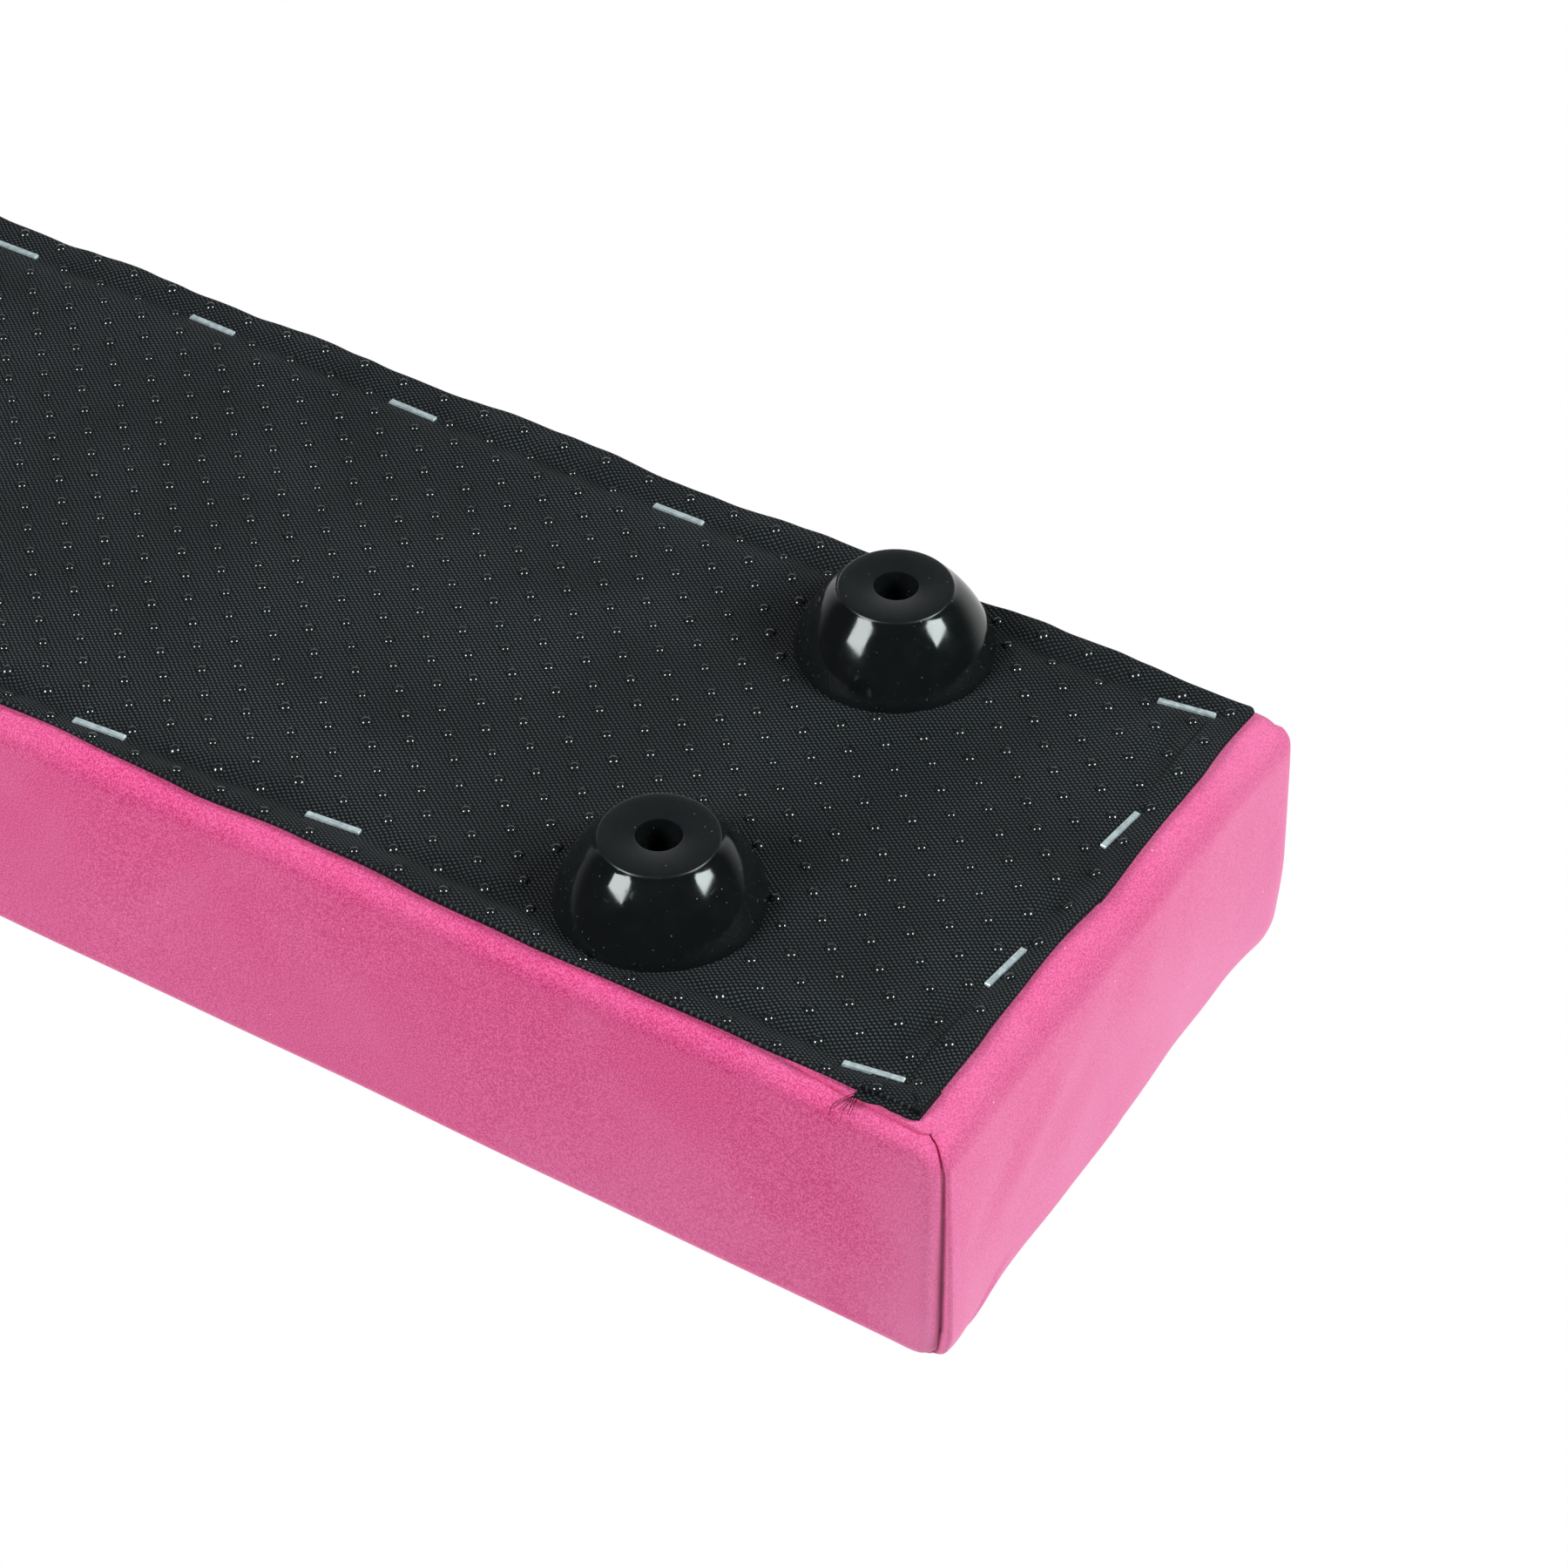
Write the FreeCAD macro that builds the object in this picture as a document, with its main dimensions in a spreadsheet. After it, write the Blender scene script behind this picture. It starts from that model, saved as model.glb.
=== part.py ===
import FreeCAD, Part

import math
import os
import re

import Sketcher
from FreeCAD import Placement, Rotation, Vector

# Low floor balance beam, modelled standing on its feet.
#
# Axes: X runs along the beam, Y across it and Z up. The origin is on the floor, under the middle of
# the beam. Millimetres throughout.
#
# Build-up, from the floor: rubber feet, woven grip sheet, turned-under edge of the suede cover,
# timber core board, foam padding, suede cover.

SIZES = {
    # whole beam
    "beam_length": 1219.2,
    "beam_width": 149.2,
    "body_height": 63.5,          # lower face of the grip sheet to the walking face
    # timber core, a dressed two-by-six
    "board_length": 1206.5,
    "board_width": 139.7,
    "board_height": 38.1,
    "board_edge_radius": 3.0,
    # suede cover, wrapped over the padding and turned under the board
    "cover_thickness": 1.2,
    "corner_radius": 6.0,         # upright corners
    "top_edge_radius": 5.5,
    "bottom_edge_radius": 4.0,
    "flap_width": 60.0,           # how far the cover is turned under on each side
    # woven grip sheet on the underside, laid a little off the middle
    "sheet_width": 138.2,
    "sheet_thickness": 0.8,
    "sheet_end_gap": 6.9,
    "sheet_offset": 1.2,
    "sheet_corner_radius": 2.0,
    # rubber feet, narrow end down
    "foot_height": 17.0,
    "foot_tip_diameter": 24.8,
    "foot_base_diameter": 43.0,
    "foot_side_radius": 35.0,     # bulge of the side
    "foot_edge": 0.4,             # bevel round the tip
    "foot_lip": 1.2,              # straight lip round the base
    "foot_bore": 9.4,
    "foot_floor": 4.0,            # rubber left between the bore and the base
    "foot_end_distance": 81.7,
    "foot_spacing": 90.2,
    # screws and washers in the feet
    "washer_diameter": 9.0,
    "washer_hole": 4.8,
    "washer_thickness": 1.0,
    "head_diameter": 8.4,
    "head_height": 2.8,
    "head_round": 0.9,            # how far the edge of the head is rounded off
    "head_round_radius": 1.0,
    "shank_diameter": 4.8,
    "screw_length": 25.4,
    "tip_length": 5.0,
    "recess_span": 4.6,
    "recess_slot": 1.1,
    "recess_depth": 1.5,
    # staples of flat wire
    "staple_crown": 12.7,
    "staple_leg": 9.5,
    "wire_width": 1.2,
    "wire_thickness": 0.6,
    "wire_bend": 0.4,
    "staple_proud": 0.3,          # how far a sheet staple stands below the sheet
}

# Distances of the first sheet staples from the +X end; the rest of each row is evenly spaced.
# No staple is set beside a foot, where the foot's own screw holds the sheet.
LEFT_STAPLES = (21.1, 149.8, 208.1)
RIGHT_STAPLES = (20.1, 145.2, 216.8, 275.3, 333.6)
LEFT_PLACES = (63.7, 62.0, 64.6)  # Y of those first staples
RIGHT_PLACES = (-60.6, -58.6, -58.3, -60.1, -59.6)
LEFT_TILTS = (-10.0, -6.0, -5.0)
RIGHT_TILTS = (-9.0, -1.0, 1.0, 1.0, -1.0)
STAPLE_PITCH = 58.3
BEFORE_FOOT = 147.0               # distance from the -X end of a row's last staple but one
LAST_STAPLE = 20.0                # distance from the -X end of a row's last staple
LEFT_ROW = 63.6                   # Y about which the later staples of the left side wander
RIGHT_ROW = -59.2
END_ROW = 13.9                    # distance of the end staples from the end
END_STAPLES = (25.8, -20.6)       # their Y
END_TILT = 95.3
SWAY_PERIOD = 2.99                # staples from one hand-set wander of a row to the next
SHEET_SWAY = 1.1                  # how far that wander takes a sheet staple off its row
SHEET_TILT = -4.0                 # usual turn of a sheet staple, in degrees
SHEET_TILT_SWAY = 5.0
COVER_ROW = 24.0                  # Y of the hidden staples that hold the cover's side flaps
COVER_PITCH = 76.0
COVER_TILT_SWAY = 3.0
COVER_END_ROW = 52.6              # distance from the end of those that hold the end flaps
COVER_END_STAPLES = (-36.0, 0.0, 36.0)
COVER_END_FAN = 0.1               # degrees that an end staple turns for each millimetre off the middle

BOARD_FACE = "(foot_height + sheet_thickness + cover_thickness)"
BOARD_TOP = "(foot_height + sheet_thickness + cover_thickness + board_height)"
COVER_FACE = "(foot_height + sheet_thickness)"
TINY = 1e-6                       # two lengths closer than this are the same
LEAST_RECESS = 1.0                # cubic millimetres that a screw's recess has to take away

doc = FreeCAD.newDocument("balance_beam")
sheet = doc.addObject("Spreadsheet::Sheet", "Sizes")
sub_parts = []


# ---------------------------------------------------------------- sizes and expressions

def fill_sheet():
    """Put every driving dimension in the spreadsheet, under its own alias."""
    for row, (alias, value) in enumerate(SIZES.items(), start=1):
        sheet.set("A%d" % row, alias)
        sheet.set("B%d" % row, str(value))
        sheet.setAlias("B%d" % row, alias)
    doc.recompute()


def bound(formula):
    """The formula as an expression on the spreadsheet's cells."""
    return re.sub(r"[a-z_]+", lambda word: "Sizes." + word.group(0), formula)


def number(formula):
    """The formula's value."""
    return float(sheet.evalExpression(bound(formula)))


def bind(thing, **formulas):
    """Bind properties of an object to formulas."""
    for name, formula in formulas.items():
        thing.setExpression(name, bound(formula))


def place(thing, **formulas):
    """Bind the coordinates of an object's placement to formulas."""
    for axis, formula in formulas.items():
        thing.setExpression("Placement.Base." + axis, bound(formula))


# ---------------------------------------------------------------- sketches and features

def origin_plane(body, role):
    return next(plane for plane in body.Origin.OriginFeatures if plane.Role == role)


def new_body(name):
    return doc.addObject("PartDesign::Body", name)


def new_sketch(body, name, role):
    sketch = body.newObject("Sketcher::SketchObject", name)
    sketch.AttachmentSupport = [(origin_plane(body, role), "")]
    sketch.MapMode = "FlatFace"
    return sketch


def hold_point(sketch, edge, corner):
    """Hold the start of an edge at a corner given by two formulas."""
    for kind, axis, formula in (("DistanceX", -2, corner[0]), ("DistanceY", -1, corner[1])):
        value = number(formula)
        if abs(value) < TINY:
            sketch.addConstraint(Sketcher.Constraint("PointOnObject", edge, 1, axis))
            continue
        index = sketch.addConstraint(Sketcher.Constraint(kind, -1, 1, edge, 1, value))
        sketch.setExpression("Constraints[%d]" % index, bound(formula))


def bulged_arc(start, end, radius):
    """The arc from start to end that bulges to the right of the way between them."""
    chord = end - start
    side = Vector(chord.y, -chord.x, 0).normalize()
    rise = radius - math.sqrt(radius ** 2 - (chord.Length / 2) ** 2)
    return Part.Arc(start, start + chord * 0.5 + side * rise, end)


def draw_outline(sketch, corners, arcs=None):
    """A closed outline through corners given as pairs of formulas.

    arcs maps the number of an edge to the formula of its radius; the other edges are straight.
    """
    arcs = arcs or {}
    points = [Vector(number(across), number(up), 0) for across, up in corners]
    count = len(points)
    for edge in range(count):
        start = points[edge]
        end = points[(edge + 1) % count]
        if edge in arcs:
            sketch.addGeometry(bulged_arc(start, end, number(arcs[edge])), False)
        else:
            sketch.addGeometry(Part.LineSegment(start, end), False)
    for edge in range(count):
        following = (edge + 1) % count
        sketch.addConstraint(Sketcher.Constraint("Coincident", edge, 2, following, 1))
    for edge, corner in enumerate(corners):
        hold_point(sketch, edge, corner)
    for edge, formula in arcs.items():
        index = sketch.addConstraint(Sketcher.Constraint("Radius", edge, number(formula)))
        sketch.setExpression("Constraints[%d]" % index, bound(formula))


def draw_circle(sketch, diameter):
    """A circle about the sketch's origin."""
    circle = Part.Circle(Vector(0, 0, 0), Vector(0, 0, 1), number(diameter) / 2)
    edge = sketch.addGeometry(circle, False)
    sketch.addConstraint(Sketcher.Constraint("Coincident", edge, 3, -1, 1))
    index = sketch.addConstraint(Sketcher.Constraint("Diameter", edge, number(diameter)))
    sketch.setExpression("Constraints[%d]" % index, bound(diameter))


def rectangle(length, width):
    """The four corners of a rectangle about the origin."""
    return [
        ("-(%s) / 2" % length, "-(%s) / 2" % width),
        ("(%s) / 2" % length, "-(%s) / 2" % width),
        ("(%s) / 2" % length, "(%s) / 2" % width),
        ("-(%s) / 2" % length, "(%s) / 2" % width),
    ]


def pad(body, sketch, length, both_ways=False):
    feature = body.newObject("PartDesign::Pad", sketch.Name + "_pad")
    feature.Profile = sketch
    feature.Midplane = both_ways
    bind(feature, Length=length)
    sketch.Visibility = False
    doc.recompute()
    return feature


def revolve(body, sketch):
    feature = body.newObject("PartDesign::Revolution", sketch.Name + "_turned")
    feature.Profile = sketch
    feature.ReferenceAxis = (sketch, ["V_Axis"])
    feature.Angle = 360.0
    doc.recompute()
    return feature


def round_edges(body, base, test, radius):
    """Fillet the edges of the base feature whose two ends pass the test."""
    names = []
    for index, edge in enumerate(base.Shape.Edges, start=1):
        ends = [vertex.Point for vertex in edge.Vertexes]
        if len(ends) == 2 and test(*ends):
            names.append("Edge%d" % index)
    feature = body.newObject("PartDesign::Fillet", base.Name + "_rounded")
    feature.Base = (base, names)
    bind(feature, Radius=radius)
    doc.recompute()
    return feature


def upright(start, end):
    return abs(start.x - end.x) < TINY and abs(start.y - end.y) < TINY


def level_at(height):
    """A test for edges that lie at one height."""
    def test(start, end):
        return abs(start.z - height) < TINY and abs(end.z - height) < TINY
    return test


def lengthwise(start, end):
    return abs(start.y - end.y) < TINY and abs(start.z - end.z) < TINY


def block(name, length, width, height, x, y, z):
    """A plain box from its sizes and its lowest corner."""
    box = doc.addObject("Part::Box", name)
    bind(box, Length=length, Width=width, Height=height)
    place(box, x=x, y=y, z=z)
    return box


def cut_away(name, base, tools):
    """The base less all of the tools."""
    together = doc.addObject("Part::Compound", name + "_tools")
    together.Links = tools
    remaining = doc.addObject("Part::Cut", name)
    remaining.Base = base
    remaining.Tool = together
    return remaining


def keep(thing, label):
    """Name an object as a sub-part of the beam."""
    thing.Label = label
    sub_parts.append(thing)
    return thing


# ---------------------------------------------------------------- cover and padding

def rounded_block(name, inset):
    """The padded body's outer form, drawn in by an inset on every side."""
    body = new_body(name)
    plan = new_sketch(body, name + "_plan", "XY_Plane")
    draw_outline(plan, rectangle("beam_length - 2 * " + inset, "beam_width - 2 * " + inset))
    height = "body_height - sheet_thickness - 2 * " + inset
    solid = pad(body, plan, height)
    solid = round_edges(body, solid, upright, "corner_radius - " + inset)
    solid = round_edges(body, solid, level_at(number(height)), "top_edge_radius - " + inset)
    solid = round_edges(body, solid, level_at(0.0), "bottom_edge_radius - " + inset)
    body.Tip = solid
    place(body, z="%s + %s" % (COVER_FACE, inset))
    return body


def make_padding(inner_form):
    """Foam on the top, the sides and the ends of the board, filling the cover."""
    side_gap = "(beam_width / 2 - board_width / 2)"
    end_gap = "(beam_length / 2 - board_length / 2)"
    pieces = {
        "top_pad": block(
            "top_pad_box", "beam_length", "beam_width", "body_height",
            "-beam_length / 2", "-beam_width / 2", BOARD_TOP,
        ),
    }
    for side, start in (("left", "board_width / 2"), ("right", "-beam_width / 2")):
        pieces["side_pad_" + side] = block(
            "side_pad_box_" + side, "beam_length", side_gap, "board_height",
            "-beam_length / 2", start, BOARD_FACE,
        )
    for end, start in (("front", "board_length / 2"), ("back", "-beam_length / 2")):
        pieces["end_pad_" + end] = block(
            "end_pad_box_" + end, end_gap, "board_width", "board_height",
            start, "-board_width / 2", BOARD_FACE,
        )
    for label, box in pieces.items():
        foam = doc.addObject("Part::Common", label + "_foam")
        foam.Base = inner_form
        foam.Tool = box
        keep(foam, label)


def make_cover(outer_form, inner_form, fasteners):
    """Suede shell, open underneath between its turned-under edges."""
    shell = cut_away("cover_shell", outer_form, [inner_form])
    window = block(
        "cover_window",
        "beam_length - 2 * flap_width", "beam_width - 2 * flap_width", "cover_thickness",
        "-beam_length / 2 + flap_width", "-beam_width / 2 + flap_width", COVER_FACE,
    )
    keep(cut_away("cover_cut", shell, [window] + fasteners), "suede_cover")


# ---------------------------------------------------------------- board and grip sheet

def make_board(fasteners):
    """Core board with eased long edges, holed where the screws and staples go in."""
    body = new_body("board_blank")
    section = new_sketch(body, "board_section", "YZ_Plane")
    draw_outline(section, rectangle("board_width", "board_height"))
    solid = pad(body, section, "board_length", both_ways=True)
    body.Tip = round_edges(body, solid, lengthwise, "board_edge_radius")
    place(body, z=BOARD_FACE + " + board_height / 2")
    keep(cut_away("board_cut", body, fasteners), "core_board")


def make_grip_sheet(fasteners):
    """Woven sheet under the whole beam, holed where the screws and staples pass."""
    body = new_body("grip_sheet_blank")
    plan = new_sketch(body, "grip_sheet_plan", "XY_Plane")
    draw_outline(plan, rectangle("beam_length - 2 * sheet_end_gap", "sheet_width"))
    solid = pad(body, plan, "sheet_thickness")
    body.Tip = round_edges(body, solid, upright, "sheet_corner_radius")
    place(body, y="sheet_offset", z="foot_height")
    keep(cut_away("grip_sheet_cut", body, fasteners), "grip_sheet")


# ---------------------------------------------------------------- feet, screws and washers

def foot_places():
    """Name and the X and Y formulas of each foot."""
    for end, x_sign in (("front", ""), ("back", "-")):
        for side, y_sign in (("left", ""), ("right", "-")):
            x = "%s(beam_length / 2 - foot_end_distance)" % x_sign
            y = "%sfoot_spacing / 2" % y_sign
            yield end + "_" + side, x, y


def make_foot(where, x, y):
    """Domed rubber foot, counterbored from its tip for the screw."""
    body = new_body("foot_body_" + where)
    half = new_sketch(body, "foot_outline_" + where, "XZ_Plane")
    corners = [
        ("foot_bore / 2", "0"),
        ("foot_tip_diameter / 2 - foot_edge", "0"),
        ("foot_tip_diameter / 2", "foot_edge"),
        ("foot_base_diameter / 2", "foot_height - foot_lip"),
        ("foot_base_diameter / 2", "foot_height"),
        ("shank_diameter / 2", "foot_height"),
        ("shank_diameter / 2", "foot_height - foot_floor"),
        ("foot_bore / 2", "foot_height - foot_floor"),
    ]
    draw_outline(half, corners, arcs={2: "foot_side_radius"})
    revolve(body, half)
    place(body, x=x, y=y)
    return keep(body, "foot_" + where)


def make_washer(where, x, y):
    """Flat washer at the bottom of a foot's bore."""
    body = new_body("washer_body_" + where)
    ring = new_sketch(body, "washer_ring_" + where, "XY_Plane")
    draw_circle(ring, "washer_diameter")
    draw_circle(ring, "washer_hole")
    pad(body, ring, "washer_thickness")
    place(body, x=x, y=y, z="foot_height - foot_floor - washer_thickness")
    return keep(body, "foot_washer_" + where)


def cross_outline(span, slot):
    """The twelve corners of a cross about the origin."""
    far = "%s / 2" % span
    near = "%s / 2" % slot
    quarter = [(far, near), (near, near), (near, far)]
    corners = []
    for x_sign, y_sign, step in (("", "", 1), ("-", "", -1), ("-", "-", 1), ("", "-", -1)):
        for x, y in quarter[::step]:
            corners.append((x_sign + x, y_sign + y))
    return corners


def make_screw(where, x, y):
    """Pan-head wood screw, head down, with a cross recess."""
    body = new_body("screw_body_" + where)
    half = new_sketch(body, "screw_outline_" + where, "XZ_Plane")
    corners = [
        ("0", "0"),
        ("head_diameter / 2 - head_round", "0"),
        ("head_diameter / 2", "head_round"),
        ("head_diameter / 2", "head_height"),
        ("shank_diameter / 2", "head_height"),
        ("shank_diameter / 2", "head_height + screw_length - tip_length"),
        ("0", "head_height + screw_length"),
    ]
    draw_outline(half, corners, arcs={1: "head_round_radius"})
    turned = revolve(body, half)
    cross = new_sketch(body, "screw_recess_" + where, "XY_Plane")
    draw_outline(cross, cross_outline("recess_span", "recess_slot"))
    recess = body.newObject("PartDesign::Pocket", "screw_pocket_" + where)
    recess.Profile = cross
    recess.Reversed = True
    bind(recess, Length="recess_depth")
    doc.recompute()
    if recess.Shape.Volume > turned.Shape.Volume - LEAST_RECESS:
        raise RuntimeError("the recess of screw %s cuts nothing" % where)
    place(body, x=x, y=y, z="foot_height - foot_floor - washer_thickness - head_height")
    return keep(body, "foot_screw_" + where)


# ---------------------------------------------------------------- staples

def make_staple_pattern():
    """One staple, crown down, about the middle of its crown's lower face."""
    body = new_body("staple_pattern")
    side = new_sketch(body, "staple_outline", "XZ_Plane")
    out = "staple_crown / 2"
    inside = "(staple_crown / 2 - wire_thickness)"
    corners = [
        ("-" + out, "0"),
        (out, "0"),
        (out, "staple_leg"),
        (inside, "staple_leg"),
        (inside, "wire_thickness"),
        ("-" + inside, "wire_thickness"),
        ("-" + inside, "staple_leg"),
        ("-" + out, "staple_leg"),
    ]
    draw_outline(side, corners)
    solid = pad(body, side, "wire_width", both_ways=True)
    half_crown = number(out)

    def crown_corner(start, end):
        """Whether an edge is one of the two where the crown turns into a leg."""
        low = level_at(0.0)(start, end)
        at_end = abs(abs(start.x) - half_crown) < TINY and abs(start.x - end.x) < TINY
        return low and at_end

    body.Tip = round_edges(body, solid, crown_corner, "wire_bend")
    return body


def sway(index):
    """A slow wander from -1 to 1 along a row set by hand."""
    return math.sin(2 * math.pi * index / SWAY_PERIOD)


def staple_group(label, pattern, places, level):
    """Copies of the staple at places of x, y and turn, crowns at one level."""
    copies = []
    for x, y, turn in places:
        staple = pattern.Shape.copy()
        staple.Placement = Placement(Vector(x, y, level), Rotation(Vector(0, 0, 1), turn))
        copies.append(staple)
    group = doc.addObject("Part::Feature", label + "_group")
    group.Shape = Part.makeCompound(copies)
    return keep(group, label)


def side_row(first_distances, first_places, first_tilts, row):
    """Sheet staples along one long side, from the +X end to the -X end."""
    length = number("beam_length")
    distances = list(first_distances)
    left_over = length - BEFORE_FOOT - distances[-1]
    more = round(left_over / STAPLE_PITCH)
    distances += [distances[-1] + left_over * step / more for step in range(1, more + 1)]
    distances.append(length - LAST_STAPLE)
    row_of_staples = []
    for index, distance in enumerate(distances):
        if index < len(first_tilts):
            place, tilt = first_places[index], first_tilts[index]
        else:
            place = row + SHEET_SWAY * sway(index)
            tilt = SHEET_TILT + SHEET_TILT_SWAY * sway(index)
        row_of_staples.append((length / 2 - distance, place, tilt))
    return row_of_staples


def end_row(sign):
    """Sheet staples across one end."""
    x = sign * (number("beam_length") / 2 - END_ROW)
    return [(x, y, END_TILT) for y in END_STAPLES]


def cover_side_row(sign):
    """Hidden staples that hold one side flap of the cover."""
    reach = number("beam_length / 2 - flap_width")
    count = int(2 * reach / COVER_PITCH)
    step = 2 * reach / count
    places = []
    for index in range(count):
        x = -reach + step * (index + 0.5)
        places.append((x, sign * COVER_ROW, COVER_TILT_SWAY * sway(index)))
    return places


def cover_end_row(sign):
    """Hidden staples that hold one end flap of the cover."""
    x = sign * (number("beam_length") / 2 - COVER_END_ROW)
    return [(x, y, 90.0 + COVER_END_FAN * y) for y in COVER_END_STAPLES]


def make_staples():
    """All staples, grouped by side; returns the sheet's groups and the cover's groups."""
    pattern = make_staple_pattern()
    sheet_level = number("foot_height - staple_proud")
    cover_level = number(COVER_FACE)
    sheet_rows = {
        "left": side_row(LEFT_STAPLES, LEFT_PLACES, LEFT_TILTS, LEFT_ROW),
        "right": side_row(RIGHT_STAPLES, RIGHT_PLACES, RIGHT_TILTS, RIGHT_ROW),
        "front": end_row(1),
        "back": end_row(-1),
    }
    cover_rows = {
        "left": cover_side_row(1),
        "right": cover_side_row(-1),
        "front": cover_end_row(1),
        "back": cover_end_row(-1),
    }
    through_sheet = []
    for side, places in sheet_rows.items():
        through_sheet.append(staple_group("sheet_staples_" + side, pattern, places, sheet_level))
    through_cover = []
    for side, places in cover_rows.items():
        through_cover.append(staple_group("cover_staples_" + side, pattern, places, cover_level))
    return through_sheet, through_cover


# ---------------------------------------------------------------- the whole beam

def check_model():
    """Stop if any object failed or any sub-part isn't a sound solid."""
    for thing in doc.Objects:
        if {"Invalid", "Error"} & set(thing.State):
            raise RuntimeError("%s failed: %s" % (thing.Name, thing.State))
    for thing in sub_parts:
        shape = thing.Shape
        if shape.isNull() or not shape.isValid() or not shape.Solids:
            raise RuntimeError("%s isn't a sound solid" % thing.Label)


def write_parts():
    os.makedirs("parts", exist_ok=True)
    for thing in sub_parts:
        thing.Shape.exportStep("parts/%s.step" % thing.Label)
        box = thing.Shape.BoundBox
        print("%-26s %3d solids %12.1f mm3  x %8.2f %8.2f  y %7.2f %7.2f  z %6.2f %6.2f" % (
            thing.Label, len(thing.Shape.Solids), thing.Shape.Volume,
            box.XMin, box.XMax, box.YMin, box.YMax, box.ZMin, box.ZMax,
        ))


fill_sheet()
screws = []
for where, x, y in foot_places():
    make_foot(where, x, y)
    make_washer(where, x, y)
    screws.append(make_screw(where, x, y))
sheet_staples, cover_staples = make_staples()
outer_form = rounded_block("outer_form", "0")
inner_form = rounded_block("inner_form", "cover_thickness")
make_padding(inner_form)
make_cover(outer_form, inner_form, screws + sheet_staples + cover_staples)
make_board(screws + sheet_staples + cover_staples)
make_grip_sheet(screws + sheet_staples)
doc.recompute()
check_model()
write_parts()
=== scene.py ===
import math

import bpy
import numpy as np
from mathutils import Matrix, Vector


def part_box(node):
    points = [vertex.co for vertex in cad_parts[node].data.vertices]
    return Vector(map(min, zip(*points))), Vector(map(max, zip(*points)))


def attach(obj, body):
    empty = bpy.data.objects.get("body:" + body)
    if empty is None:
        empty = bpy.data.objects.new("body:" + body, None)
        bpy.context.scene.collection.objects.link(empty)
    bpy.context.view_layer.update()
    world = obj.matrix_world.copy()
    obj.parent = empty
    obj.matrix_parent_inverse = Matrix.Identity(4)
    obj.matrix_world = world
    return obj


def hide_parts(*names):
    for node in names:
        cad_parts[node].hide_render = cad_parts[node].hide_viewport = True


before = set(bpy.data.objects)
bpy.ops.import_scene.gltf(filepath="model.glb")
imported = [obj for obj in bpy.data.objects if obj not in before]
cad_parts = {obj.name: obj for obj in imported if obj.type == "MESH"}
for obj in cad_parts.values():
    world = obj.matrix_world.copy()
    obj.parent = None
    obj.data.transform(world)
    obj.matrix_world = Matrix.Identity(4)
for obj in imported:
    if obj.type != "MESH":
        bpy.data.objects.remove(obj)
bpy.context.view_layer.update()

# Looks of a low floor balance beam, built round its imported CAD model.
#
# The beam stands on its feet on the floor, z = 0, with X along it and Y across it. The camera looks up
# at the underside of its front left corner, so the floor is one-sided and never hides the beam.
# Lengths are in metres. Everything is placed from the boxes of the CAD nodes.

MM = 0.001
TINY = 1e-9  # lengths and shares below this count as none


def box_of(node):
    """Lowest and highest corner of a CAD node."""
    return [np.array(corner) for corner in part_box(node)]


BEAM_LOW, BEAM_HIGH = box_of("suede_cover")
SHEET_LOW, SHEET_HIGH = box_of("grip_sheet")
HALF_LENGTH, HALF_WIDTH = BEAM_HIGH[0], BEAM_HIGH[1]
UNDERSIDE, WALKING_FACE = BEAM_LOW[2], BEAM_HIGH[2]
SHEET_FACE = SHEET_LOW[2]
FOOT_NODES = [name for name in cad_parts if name.startswith(("foot_front", "foot_back"))]
FEET = [sum(box_of(name)) / 2 for name in FOOT_NODES]
FOOT_RADIUS = np.ptp([corner[0] for corner in box_of(FOOT_NODES[0])]) / 2

# ---------------- general shaping helpers


def smooth_step(value):
    """Ease from 0 to 1 as the value does."""
    value = np.clip(value, 0.0, 1.0)
    return value * value * (3.0 - 2.0 * value)


def hump(value, middle, spread):
    """A bell curve of height 1."""
    return np.exp(-((value - middle) / spread) ** 2)


def ripple(x, y, *waves):
    """A sum of slow waves, each given as amplitude, wavelength along x, along y, and phase."""
    total = np.zeros(np.broadcast(x, y).shape)
    for amplitude, along_x, along_y, phase in waves:
        total = total + amplitude * np.sin(2 * math.pi * (x / along_x + y / along_y) + phase)
    return total


def spaced(start, end, fine, coarse, reach):
    """Positions from start to end, fine within reach of both ends and coarser between."""
    half = (end - start) / 2
    places = [0.0]
    while places[-1] < half:
        ease = min(max((places[-1] - reach) / (4 * reach), 0.0), 1.0)
        places.append(places[-1] + fine + (coarse - fine) * ease)
    places = np.array(places) * (half / places[-1])
    return np.concatenate([start + places, (end - places)[:-1][::-1]])


def quads(ids, flip=False):
    """Four-sided faces between neighbours in a grid of point numbers."""
    corners = np.stack([ids[:-1, :-1], ids[1:, :-1], ids[1:, 1:], ids[:-1, 1:]], axis=-1)
    corners = corners.reshape(-1, 4)
    return corners[:, ::-1] if flip else corners


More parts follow.
